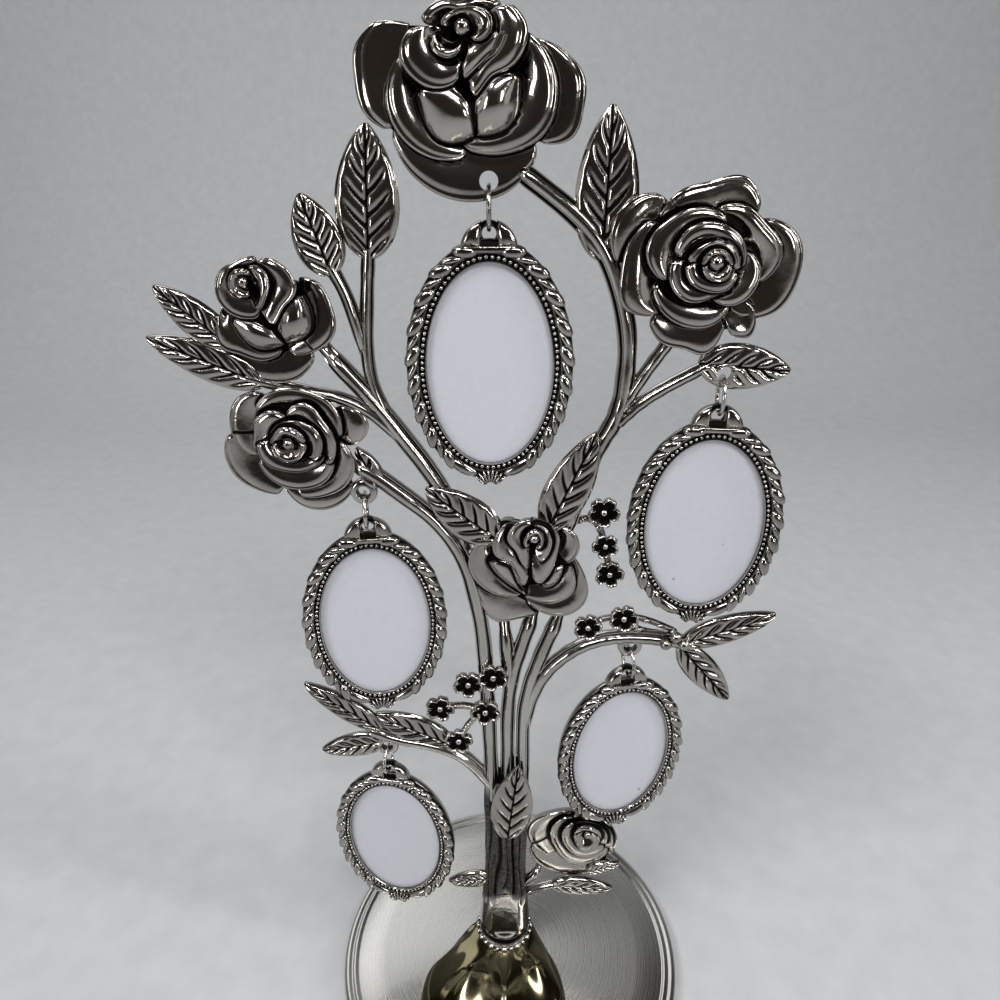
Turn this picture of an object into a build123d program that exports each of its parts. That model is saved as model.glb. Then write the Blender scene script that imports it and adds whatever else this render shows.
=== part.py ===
import os
from math import cos, radians, sin, sqrt, tan

from build123d import *

os.makedirs("parts", exist_ok=True)

# Driving dimensions, in millimetres. X is to the right, Y to the back and Z up, from the middle of the base.

# Round base
disc_diameter = 120.0
disc_sheet = 1.2
rim_width = 4.4
rim_bead = 0.8
rim_bead_rise = 0.48
skirt_lift = 0.4
felt_thickness = 1.0
felt_margin = 2.0
weight_thickness = 5.0
weight_gap = 0.2

# Foot and the screw that holds the tree down
foot_height = 14.0
foot_back = 7.0
foot_front = 36.0
foot_reach_left = 26.0
foot_reach_right = 21.0
foot_collar = 0.8
foot_nose = 1.5
foot_waist = 4.5
foot_widest = 0.45
spigot_diameter = 8.0
spigot_depth = 6.0
spigot_clearance = 0.05
screw_diameter = 5.0
screw_bite = 12.0
screw_head_diameter = 9.0
screw_head_height = 2.0
screw_slot = 1.2
head_gap = 0.2
thread_run_out = 1.0
screw_hole_clearance = 0.25
thread_clearance = 0.05
washer_diameter = 11.0
washer_thickness = 0.8
counterbore_clearance = 0.5

# Trunk, stems and boughs
trunk_x = -2.0
trunk_top = 95.0
trunk_width_foot = 16.4
trunk_width_top = 14.6
trunk_depth_foot = 12.4
trunk_depth_top = 10.2
trunk_groove = 1.3
trunk_lean = 0.6
groove_apart_foot = 2.9
groove_apart_top = 2.6
groove_start = 10.0
stem_radius = 2.2
bough_radius = 2.3
twig_radius = 1.6
wire_stem_radius = 0.7
bend_share = 0.45

# Roses, leaves and small flowers
petal_plate = 2.6
petal_step = 2.6
petal_groove = 0.9
petal_groove_depth = 1.2
petal_share = 0.62
rose_bead_radius = 1.9
leaf_thickness = 2.0
leaf_widest = 0.45
midrib_width = 1.1
midrib_rise = 0.5
midrib_from = 0.08
midrib_to = 0.92
flower_radius = 4.0
mid_flower_radius = 3.6
small_flower_radius = 3.2
flower_petals = 5
flower_petal_share = 0.44
flower_thickness = 1.8
flower_bead_radius = 1.3
berry_radius = 1.4
front_leaf_lift = 1.9
right_rose_lift = 2.3
foot_rose_lift = -2.5
bud_fullness = 0.75
open_fullness = 0.8
foot_fullness = 0.6
trunk_leaf_sink = 0.6
sprig_sink = 0.7
sprig_wire_rise = 0.5

# Hanging frames
opening_width = 30.0
opening_height = 49.0
border_width = 5.2
frame_depth = 3.6
frame_step = 1.2
lobe_count = 44
lobe_radius = 1.7
lobe_web = 1.0
pearl_ring_width = 1.2
pearl_groove_depth = 0.5
lip_width = 1.5
lip_depth = 1.2
window_thickness = 0.5
card_thickness = 0.6
back_thickness = 0.9
pocket_clearance = 0.15
back_notch_radius = 3.0
lug_radius = 6.5
lug_depth = 2.4
lug_wall = 1.45
lug_rise = 3.8
shell_radius = 3.2
shell_drop = 1.0

# Jump rings and the holes that they pass through
ring_wire = 1.0
ring_radius = 4.6
ring_split_deg = 4.0
hole_diameter = 3.3
ear_radius = 3.6
seat_clearance = 0.15

# Places where a frame hangs: middle of the hole in the tree (x, z) and the twist at rest in degrees
hang_points = {
    "top": (-6.0, 266.4, 0.0),
    "right": (50.3, 223.6, -6.2),
    "left": (-38.8, 192.3, 7.0),
    "lower_right": (33.8, 143.0, 11.6),
    "lower_left": (-38.5, 105.0, -9.1),
}

# Heights and radii that follow from the driving dimensions
disc_radius = disc_diameter / 2
weight_bottom = felt_thickness
weight_top = weight_bottom + weight_thickness
disc_top = weight_top + disc_sheet
cavity_radius = disc_radius - disc_sheet
weight_radius = cavity_radius - weight_gap
felt_radius = weight_radius - felt_margin
foot_top = disc_top + foot_height
spigot_bottom = foot_top - spigot_depth
screw_radius = screw_diameter / 2
screw_hole_radius = screw_radius + screw_hole_clearance
counterbore_radius = washer_diameter / 2 + counterbore_clearance
head_bottom = weight_bottom + head_gap
head_top = head_bottom + screw_head_height
washer_top = head_top + washer_thickness
screw_tip = spigot_bottom + screw_bite
thread_top = screw_tip + thread_run_out
hole_radius = hole_diameter / 2
wire_radius = ring_wire / 2
frame_outer_x = opening_width / 2 + border_width
frame_outer_z = opening_height / 2 + border_width
lug_center = frame_outer_z + lug_rise - lug_radius
lug_hole = lug_center + lug_radius - lug_wall - hole_radius


def seat_offset(plate_depth):
    # How far the wire's middle stands from the hole's middle when the ring's inside rests on the hole's edge
    inside = ring_radius - wire_radius
    sag = inside - sqrt(inside**2 - (plate_depth / 2) ** 2)
    return hole_radius - wire_radius - sag - seat_clearance


wire_drop = seat_offset(petal_plate)
wire_rise = seat_offset(lug_depth)
ring_center_drop = wire_drop + ring_radius
frame_drop = ring_center_drop + ring_radius + wire_rise + lug_hole


def bend_radii(points):
    # The largest arc that each corner's two runs allow
    radii = []
    for before, corner, after in zip(points, points[1:], points[2:]):
        run_in = Vector(*corner) - Vector(*before)
        run_out = Vector(*after) - Vector(*corner)
        turn = radians(run_in.get_angle(run_out))
        radii.append(bend_share * min(run_in.length, run_out.length) / tan(turn / 2))
    return radii


def tree_tube(points, radius, lift=0.0):
    # A round stem along points (x, z) on the tree's plane, lifted towards the front
    with BuildLine(Plane.XZ.offset(lift)) as route:
        if len(points) == 2:
            Line(*points)
        else:
            FilletPolyline(*points, radius=bend_radii(points))
    with BuildSketch(Plane(route.line @ 0, z_dir=route.line % 0)) as section:
        Circle(radius)
    sweep(section.sketch, path=route.line)


def clear_of(*neighbours):
    # Takes the neighbours' room away, so that pieces meet face to face
    for neighbour in neighbours:
        add(neighbour.part, mode=Mode.SUBTRACT)


def ear(place, link):
    # A flat eye for a jump ring, joined to the stem at link
    with BuildSketch(Plane.XZ.offset(-petal_plate / 2)) as eye:
        with Locations(place):
            Circle(ear_radius)
        with Locations(link):
            Circle(bough_radius)
        make_hull(eye.edges())
    extrude(eye.sketch, amount=petal_plate)


def ring_hole(place):
    with BuildSketch(Plane.XZ.offset(-ear_radius)) as bore:
        with Locations(place):
            Circle(hole_radius)
    extrude(bore.sketch, amount=2 * ear_radius, mode=Mode.SUBTRACT)


def petal_tier(petals, back, reach):
    # Overlapping round petals (x, z, radius) that stand forward from the back of the rose
    with BuildSketch(Plane.XZ.offset(back)) as outline:
        for x, z, radius in petals:
            with Locations((x, z)):
                Circle(radius)
    extrude(outline.sketch, amount=reach)


def tier_groove(middle, radius, front):
    # The dark furrow between one tier of petals and the next
    with BuildSketch(Plane.XZ.offset(front)) as furrow:
        with Locations(middle):
            Circle(radius + petal_groove)
    extrude(furrow.sketch, amount=-petal_groove_depth, mode=Mode.SUBTRACT)


def ring_of_petals(middle, outer, count, start_deg):
    # Petals evenly round a middle, reaching out to the outer radius
    petal = petal_share * outer
    spread = outer - petal
    angles = [radians(start_deg + 360 * k / count) for k in range(count)]
    ring = [(middle[0] + spread * cos(a), middle[1] + spread * sin(a), petal) for a in angles]
    return ring + [(middle[0], middle[1], spread)]


def rose(outer_petals, tiers, lift=0.0, fullness=1.0):
    # A flat plate of outer petals, then tiers (middle, outer radius, petal count, start angle), then a bead
    back = lift - petal_plate / 2
    reach = petal_plate
    petal_tier(outer_petals, back, reach)
    for middle, outer, count, start_deg in tiers:
        tier_groove(middle, outer, back + reach)
        reach += petal_step * fullness
        petal_tier(ring_of_petals(middle, outer, count, start_deg), back, reach)
    heart = tiers[-1][0]
    with Locations((heart[0], -back - reach, heart[1])):
        Sphere(rose_bead_radius)


def leaf(base, tip, width, lift=0.0):
    # A pointed leaf with a raised midrib, its back face at the lift towards the front
    root, point = Vector(*base), Vector(*tip)
    along = (point - root).normalized()
    across = Vector(-along.Y, along.X) * (width / 2)
    widest = root + (point - root) * leaf_widest
    back = Plane.XZ.offset(lift)
    with BuildSketch(back) as blade:
        with BuildLine():
            ThreePointArc(root, widest + across, point)
            ThreePointArc(point, widest - across, root)
        make_face()
    extrude(blade.sketch, amount=leaf_thickness)
    rib = across.normalized() * (midrib_width / 2)
    rib_end = root + (point - root) * midrib_to
    rib_start = root + (point - root) * midrib_from
    with BuildSketch(back) as midrib:
        with BuildLine():
            Polyline(rib_start - rib, rib_end, rib_start + rib, close=True)
        make_face()
    extrude(midrib.sketch, amount=leaf_thickness + midrib_rise)


def flower(place, radius, lift=0.0):
    # Five round petals and a bead
    petal = flower_petal_share * radius
    with BuildSketch(Plane.XZ.offset(lift)) as petals:
        with Locations(place):
            with PolarLocations(radius - petal, flower_petals, start_angle=90):
                Circle(petal)
            Circle(radius - petal)
    extrude(petals.sketch, amount=flower_thickness)
    with Locations((place[0], -lift - flower_thickness, place[1])):
        Sphere(flower_bead_radius)


def berry(place, lift=0.0):
    with Locations((place[0], -lift, place[1])):
        Sphere(berry_radius)


def keep(piece, name):
    piece.part.label = name
    export_step(piece.part, f"parts/{name}.step")


# Felt under the base
with BuildPart() as felt_pad:
    with BuildSketch():
        Circle(felt_radius)
    extrude(amount=felt_thickness)
keep(felt_pad, "felt_pad")

# Steel weight with a counterbored hole for the screw
with BuildPart() as base_weight:
    with BuildSketch(Plane.XY.offset(weight_bottom)):
        Circle(weight_radius)
    extrude(amount=weight_thickness)
    with BuildSketch(Plane.XY.offset(weight_bottom)):
        with Locations((trunk_x, 0)):
            Circle(screw_hole_radius)
    extrude(amount=weight_thickness, mode=Mode.SUBTRACT)
    with BuildSketch(Plane.XY.offset(weight_bottom)):
        with Locations((trunk_x, 0)):
            Circle(counterbore_radius)
    extrude(amount=washer_top - weight_bottom, mode=Mode.SUBTRACT)
keep(base_weight, "base_weight")

# Spun disc: a shallow shell with a beaded rim
with BuildPart() as base_disc:
    with BuildSketch(Plane.XZ):
        bead_start = disc_radius - rim_width
        with BuildLine():
            Polyline((0, weight_top), (0, disc_top), (bead_start, disc_top))
            ThreePointArc(
                (bead_start, disc_top),
                (bead_start + rim_bead, disc_top + rim_bead_rise),
                (bead_start + 2 * rim_bead, disc_top),
            )
            Line((bead_start + 2 * rim_bead, disc_top), (cavity_radius, disc_top))
            CenterArc((cavity_radius, weight_top), disc_sheet, 90, -90)
            Polyline(
                (disc_radius, weight_top),
                (disc_radius, skirt_lift),
                (cavity_radius, skirt_lift),
                (cavity_radius, weight_top),
                (0, weight_top),
            )
        make_face()
    revolve(axis=Axis.Z)
    with BuildSketch(Plane.XY.offset(weight_top)):
        with Locations((trunk_x, 0)):
            Circle(screw_hole_radius)
    extrude(amount=disc_sheet, mode=Mode.SUBTRACT)
keep(base_disc, "base_disc")


def foot_section(share, rise):
    # One level of the foot: flat back, two cheeks and a keel in front, narrowing with share
    neck = trunk_width_foot / 2 + foot_collar
    left = neck + (foot_reach_left - neck) * share
    right = neck + (foot_reach_right - neck) * share
    nose = trunk_depth_foot / 2 + foot_nose
    front = nose + (foot_front - nose) * share
    waist = neck + foot_waist * share
    level = Plane(origin=(trunk_x, 0, disc_top + rise))
    with BuildSketch(level) as section:
        with BuildLine():
            Line((-waist, foot_back), (waist, foot_back))
            ThreePointArc((waist, foot_back), (right, -foot_widest * front), (0, -front))
            ThreePointArc((0, -front), (-left, -foot_widest * front), (-waist, foot_back))
        make_face()
    return section.sketch


# Polished foot that fans out towards the front
with BuildPart() as root_foot:
    foot_levels = ((1.0, 0.0), (0.78, 0.42), (0.34, 0.78), (0.0, 1.0))
    loft([foot_section(share, rise * foot_height) for share, rise in foot_levels])
    with BuildSketch(Plane.XY.offset(spigot_bottom)):
        with Locations((trunk_x, 0)):
            Circle(spigot_diameter / 2 + spigot_clearance)
    extrude(amount=spigot_depth, mode=Mode.SUBTRACT)
    with BuildSketch(Plane.XY.offset(disc_top)):
        with Locations((trunk_x, 0)):
            Circle(screw_hole_radius)
    extrude(amount=foot_height, mode=Mode.SUBTRACT)
keep(root_foot, "root_foot")

# Screw and washer that clamp disc, foot and trunk together
with BuildPart() as fixing_screw:
    with BuildSketch(Plane.XY.offset(head_bottom)):
        with Locations((trunk_x, 0)):
            Circle(screw_head_diameter / 2)
    extrude(amount=screw_head_height)
    with BuildSketch(Plane.XY.offset(head_top)):
        with Locations((trunk_x, 0)):
            Circle(screw_radius)
    extrude(amount=screw_tip - head_top)
    with BuildSketch(Plane.XY.offset(head_bottom)):
        with Locations((trunk_x, 0)):
            Rectangle(screw_head_diameter, screw_slot)
    extrude(amount=screw_head_height / 2, mode=Mode.SUBTRACT)
keep(fixing_screw, "fixing_screw")

with BuildPart() as fixing_washer:
    with BuildSketch(Plane.XY.offset(head_top)):
        with Locations((trunk_x, 0)):
            Circle(washer_diameter / 2)
            Circle(screw_hole_radius, mode=Mode.SUBTRACT)
    extrude(amount=washer_thickness)
keep(fixing_washer, "fixing_washer")

# Trunk: a bundle of stems cast in one, grooved in front, with a spigot for the foot
with BuildPart() as trunk:
    with BuildSketch(Plane(origin=(trunk_x, 0, foot_top))):
        Ellipse(trunk_width_foot / 2, trunk_depth_foot / 2)
    with BuildSketch(Plane(origin=(trunk_x + trunk_lean, 0, trunk_top))):
        Ellipse(trunk_width_top / 2, trunk_depth_top / 2)
    loft()
    for side in (-1, 1):
        low = Vector(trunk_x + side * groove_apart_foot, -trunk_depth_foot / 2, foot_top + groove_start)
        high_x = trunk_x + trunk_lean + side * groove_apart_top
        high = Vector(high_x, -trunk_depth_top / 2, trunk_top + trunk_groove)
        with BuildLine() as furrow:
            Line(low, high)
        with BuildSketch(Plane(low, z_dir=high - low)):
            Circle(trunk_groove)
        sweep(path=furrow.line, mode=Mode.SUBTRACT)
    with BuildSketch(Plane(origin=(trunk_x, 0, foot_top))):
        Circle(spigot_diameter / 2)
    extrude(amount=-spigot_depth)
    with BuildSketch(Plane(origin=(trunk_x, 0, spigot_bottom))):
        Circle(screw_radius + thread_clearance)
    extrude(amount=thread_top - spigot_bottom, mode=Mode.SUBTRACT)
keep(trunk, "trunk")

# Roses
with BuildPart() as top_rose:
    rose(
        [(-24.6, 285.4, 9.0), (5.0, 284.5, 8.7), (-18.5, 273.5, 10.0), (-8.0, 272.6, 10.6),
         (1.0, 275.2, 9.2), (-10.4, 288.4, 11.0)],
        [((-9.6, 284.4), 14.4, 5, 54), ((-10.2, 288.4), 10.2, 4, 20), ((-10.4, 291.4), 6.8, 3, 80)],
    )
    ring_hole(hang_points["top"][:2])
keep(top_rose, "top_rose")

with BuildPart() as right_rose:
    rose(
        [(43.5, 259.5, 8.8), (53.5, 257.0, 8.0), (56.6, 249.5, 7.8), (53.0, 240.5, 8.2),
         (43.5, 237.5, 9.0), (33.5, 241.5, 8.6), (29.3, 250.5, 8.4), (33.5, 257.5, 7.6),
         (44.5, 249.0, 12.0)],
        [((40.8, 249.4), 15.2, 6, 15), ((41.0, 250.8), 11.2, 5, 50), ((41.6, 251.4), 6.6, 4, 10)],
        right_rose_lift,
    )
keep(right_rose, "right_rose")

with BuildPart() as left_bud_rose:
    rose(
        [(-64.8, 231.5, 6.8), (-58.5, 227.6, 6.6), (-49.0, 233.0, 6.8), (-50.0, 241.0, 6.0),
         (-58.5, 242.4, 8.2), (-65.0, 240.0, 6.0), (-57.5, 235.0, 8.0)],
        [((-58.8, 239.4), 9.6, 5, 54), ((-58.4, 242.4), 8.0, 4, 20), ((-59.4, 244.8), 5.2, 3, 80)],
        fullness=bud_fullness,
    )
keep(left_bud_rose, "left_bud_rose")

with BuildPart() as left_open_rose:
    rose(
        [(-65.5, 205.5, 7.6), (-61.0, 212.2, 7.6), (-49.5, 212.3, 7.4), (-44.2, 206.5, 7.6),
         (-48.5, 198.0, 7.4), (-54.0, 194.4, 7.9), (-62.0, 197.8, 7.6), (-55.5, 204.0, 9.0)],
        [((-53.6, 205.8), 12.6, 6, 15), ((-54.2, 206.6), 9.6, 5, 50), ((-54.5, 207.4), 6.2, 4, 10)],
        fullness=open_fullness,
    )
keep(left_open_rose, "left_open_rose")

with BuildPart() as center_rose:
    rose(
        [(-4.2, 169.5, 8.3), (-2.0, 160.8, 8.4), (4.5, 158.9, 8.2), (11.8, 161.5, 8.4),
         (12.8, 169.5, 8.2), (10.5, 176.2, 7.6), (4.5, 177.2, 7.8), (-1.5, 175.5, 7.6),
         (4.5, 168.0, 8.0)],
        [((3.6, 171.6), 12.8, 5, 54), ((3.6, 174.8), 9.4, 4, 20), ((5.0, 178.4), 6.4, 3, 80)],
        fullness=open_fullness,
    )
keep(center_rose, "center_rose")

with BuildPart() as foot_rose:
    rose(
        [(12.8, 59.8, 7.0), (15.5, 52.1, 7.0), (23.5, 51.5, 7.0), (28.2, 58.3, 7.0),
         (25.5, 65.2, 6.8), (16.8, 67.4, 7.2), (20.5, 58.8, 8.0)],
        [((22.6, 62.2), 9.8, 5, 54), ((23.4, 64.8), 7.2, 4, 20), ((24.0, 66.8), 4.6, 3, 80)],
        foot_rose_lift,
        foot_fullness,
    )
    clear_of(trunk)
keep(foot_rose, "foot_rose")

# Stems between the trunk and the middle rose
with BuildPart() as right_stem:
    tree_tube([(3.6, trunk_top), (3.4, 121), (7.2, 137), (13.6, 154)], stem_radius)
    clear_of(trunk, center_rose)
keep(right_stem, "right_stem")

with BuildPart() as center_stem:
    tree_tube([(-1.2, trunk_top), (-1.4, 121), (0.6, 136), (5.5, 152.5)], stem_radius)
    tree_tube([(0.0, 132), (-2.8, 153.5)], twig_radius)
    clear_of(trunk, center_rose)
keep(center_stem, "center_stem")

with BuildPart() as left_stem:
    tree_tube(
        [(-6.4, trunk_top), (-7.2, 122), (-8.2, 145), (-10.0, 158.5), (-13.0, 172), (-20.0, 183.8),
         (-29.5, 191.8), (-35.6, 197.5)],
        bough_radius,
    )
    ear(hang_points["left"][:2], (-35.6, 197.0))
    ring_hole(hang_points["left"][:2])
    clear_of(trunk, center_rose, left_open_rose)
keep(left_stem, "left_stem")

# Boughs above the middle rose
with BuildPart() as upper_left_bough:
    tree_tube(
        [(-12.8, 174), (-17.0, 190), (-22.6, 199.8), (-27.6, 207), (-32.6, 214.3), (-38.8, 222),
         (-47.0, 231.5)],
        bough_radius,
    )
    clear_of(center_rose, left_stem, left_bud_rose)
keep(upper_left_bough, "upper_left_bough")

with BuildPart() as right_bough:
    tree_tube(
        [(13.5, 177), (17.0, 193), (20.8, 204.5), (24.8, 211.2), (26.6, 219), (26.8, 231.8), (24.4, 241.4),
         (20.4, 251.5), (14.2, 258.8), (3.5, 266.5)],
        bough_radius,
    )
    clear_of(center_rose, top_rose, right_rose)
    # The cut leaves a shaving beside the rose, so only the bough itself is kept
    add(right_bough.solids().sort_by(SortBy.VOLUME)[-1], mode=Mode.REPLACE)
keep(right_bough, "right_bough")

with BuildPart() as right_twigs:
    tree_tube([(26.0, 214), (31.0, 223.5), (37.0, 232.5)], twig_radius)
    tree_tube([(25.6, 211), (32.5, 218), (47.5, 226.4)], twig_radius)
    clear_of(right_bough, right_rose)
    ring_hole(hang_points["right"][:2])
keep(right_twigs, "right_twigs")

with BuildPart() as left_twigs:
    tree_tube([(-31.5, 213), (-35.4, 223.5), (-34.6, 238), (-33.0, 252.5)], twig_radius)
    tree_tube([(-34.8, 230.5), (-38.0, 240.5), (-42.0, 249.0)], twig_radius)
    tree_tube([(-27.0, 205.5), (-38.5, 217.0), (-53.5, 219.6), (-64.5, 222.8)], twig_radius)
    clear_of(upper_left_bough, left_bud_rose, left_open_rose)
keep(left_twigs, "left_twigs")

with BuildPart() as low_left_bough:
    tree_tube(
        [(-3.0, 83), (-10.6, 95), (-16.0, 101.2), (-26.1, 105.6), (-36.0, 107.6), (-43.0, 111.2)],
        stem_radius,
    )
    ear(hang_points["lower_left"][:2], (-36.4, 106.9))
    ring_hole(hang_points["lower_left"][:2])
    clear_of(trunk, left_stem)
keep(low_left_bough, "low_left_bough")

with BuildPart() as low_right_arch:
    tree_tube(
        [(5.2, 123.5), (9.8, 133.5), (16.5, 141), (25, 145.4), (34, 146.4), (44, 145.2), (52, 143.4)],
        stem_radius,
    )
    ear(hang_points["lower_right"][:2], (33.8, 146.0))
    ring_hole(hang_points["lower_right"][:2])
    clear_of(right_stem)
keep(low_right_arch, "low_right_arch")

with BuildPart() as foot_stems:
    tree_tube([(3.0, 39), (9.5, 47), (14.5, 53.5)], twig_radius)
    tree_tube([(3.0, 34.5), (11.5, 39.5), (22.0, 41.5)], twig_radius)
    clear_of(trunk, foot_rose)
keep(foot_stems, "foot_stems")

# Leaves
middle_lift = -leaf_thickness / 2
with BuildPart() as upper_left_leaves:
    leaf((-33.1, 251.2), (-31.7, 278.0), 13.6, middle_lift)
    leaf((-41.5, 247.9), (-47.2, 264.2), 10.6, middle_lift)
    clear_of(left_twigs, top_rose)
keep(upper_left_leaves, "upper_left_leaves")

with BuildPart() as far_left_leaves:
    leaf((-68.5, 231.5), (-83.0, 244.5), 8.2, middle_lift)
    leaf((-61.5, 221.8), (-87.2, 232.6), 9.0, middle_lift)
    clear_of(left_twigs, left_bud_rose)
keep(far_left_leaves, "far_left_leaves")

with BuildPart() as top_right_leaf:
    leaf((19.4, 251.0), (19.8, 281.5), 13.4, middle_lift)
    clear_of(right_bough, top_rose, right_rose)
keep(top_right_leaf, "top_right_leaf")

with BuildPart() as right_rose_leaf:
    leaf((45.0, 224.8), (66.0, 226.4), 9.6, middle_lift)
    with BuildSketch(Plane.XZ.offset(-petal_plate / 2)):
        with Locations(hang_points["right"][:2]):
            Circle(ear_radius)
    extrude(amount=petal_plate)
    clear_of(right_twigs, right_rose)
    ring_hole(hang_points["right"][:2])
keep(right_rose_leaf, "right_rose_leaf")

with BuildPart() as center_leaves:
    leaf((-4.5, 179.6), (-22.8, 194.2), 11.4, front_leaf_lift)
    leaf((9.1, 183.0), (20.5, 209.5), 11.0, front_leaf_lift)
    clear_of(center_rose, left_stem, upper_left_bough, right_bough)
keep(center_leaves, "center_leaves")

with BuildPart() as trunk_leaf:
    leaf((-1.2, 70.5), (2.0, 99.5), 12.8, trunk_depth_top / 2 - trunk_leaf_sink)
    clear_of(trunk)
keep(trunk_leaf, "trunk_leaf")

with BuildPart() as arch_leaves:
    leaf((50.0, 144.6), (74.5, 154.0), 8.4, middle_lift)
    leaf((48.6, 142.6), (65.0, 123.0), 8.4, middle_lift)
    clear_of(low_right_arch)
keep(arch_leaves, "arch_leaves")

with BuildPart() as low_left_leaves:
    leaf((-40.5, 112.2), (-61.8, 129.4), 7.4, middle_lift)
    leaf((-20.5, 106.0), (-39.0, 116.6), 9.6, middle_lift)
    leaf((-40.0, 107.8), (-59.0, 104.2), 7.4, middle_lift)
    clear_of(low_left_bough)
keep(low_left_leaves, "low_left_leaves")

with BuildPart() as foot_leaves:
    leaf((-6.0, 44.2), (-21.6, 42.2), 7.0, middle_lift)
    leaf((15.0, 40.6), (36.0, 38.8), 7.6, middle_lift)
    leaf((27.0, 48.0), (37.4, 51.8), 5.2, middle_lift)
    clear_of(trunk, foot_stems, foot_rose)
keep(foot_leaves, "foot_leaves")

# Sprigs of small flowers
sprig_lift = bough_radius - sprig_sink
sprig_wire_lift = sprig_lift + sprig_wire_rise
with BuildPart() as right_flower_sprig:
    tree_tube([(15.2, 182.5), (20.5, 184.5), (23.8, 180), (26.0, 170)], wire_stem_radius)
    flower((23.6, 187.0), flower_radius, middle_lift)
    flower((24.6, 176.6), small_flower_radius, middle_lift)
    flower((26.6, 167.2), mid_flower_radius, middle_lift)
    clear_of(center_rose, right_bough, center_leaves)
keep(right_flower_sprig, "right_flower_sprig")

with BuildPart() as arch_flower_sprig:
    tree_tube([(20.5, 144), (21.5, 150.5), (31.3, 153.4), (39.0, 151.2), (47.0, 147.2)], wire_stem_radius)
    flower((21.2, 150.6), flower_radius, middle_lift)
    flower((31.3, 153.8), flower_radius, middle_lift)
    berry((46.4, 147.4))
    berry((48.7, 146.2))
    berry((47.9, 149.0))
    clear_of(low_right_arch, arch_leaves)
keep(arch_flower_sprig, "arch_flower_sprig")

with BuildPart() as left_flower_sprig:
    tree_tube([(-21.4, 121.8), (-15.0, 120.5), (-7.8, 123.0)], wire_stem_radius, sprig_wire_lift)
    tree_tube([(-16.2, 109.0), (-13.0, 116.0), (-7.8, 123.0)], wire_stem_radius, sprig_wire_lift)
    tree_tube([(-13.4, 132.4), (-8.8, 130.0), (-7.8, 123.0)], wire_stem_radius, sprig_wire_lift)
    tree_tube([(-5.6, 136.4), (-7.4, 130.5), (-7.8, 123.0)], wire_stem_radius, sprig_wire_lift)
    flower((-21.4, 121.8), flower_radius, sprig_lift)
    flower((-7.8, 123.0), flower_radius, sprig_lift)
    flower((-16.2, 109.0), mid_flower_radius, sprig_lift)
    flower((-13.4, 132.4), mid_flower_radius, sprig_lift)
    flower((-5.6, 136.4), mid_flower_radius, sprig_lift)
    clear_of(left_stem, center_stem, low_left_bough, low_left_leaves)
keep(left_flower_sprig, "left_flower_sprig")

# Frames: each hangs on its ring, below its hole in the tree
pocket_x = opening_width / 2 + lip_width
pocket_z = opening_height / 2 + lip_width
front_face = frame_depth / 2
window_front = front_face - lip_depth
card_front = window_front - window_thickness
back_front = card_front - card_thickness
lobe_path_x = frame_outer_x - lobe_radius
lobe_path_z = frame_outer_z - lobe_radius
pearl_path_x = opening_width / 2 + pearl_ring_width
pearl_path_z = opening_height / 2 + pearl_ring_width


def frame_axes(twist):
    # The directions to a frame's own right and to its front
    turn = radians(twist)
    return Vector(cos(turn), sin(turn), 0), Vector(sin(turn), -cos(turn), 0)


def frame_level(place, height):
    # A plane across a hanging frame, at a height towards its front
    hole_x, hole_z, twist = hang_points[place]
    sideways, forwards = frame_axes(twist)
    middle = Vector(hole_x, 0, hole_z - frame_drop)
    return Plane(middle + forwards * height, x_dir=sideways, z_dir=forwards)


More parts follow.
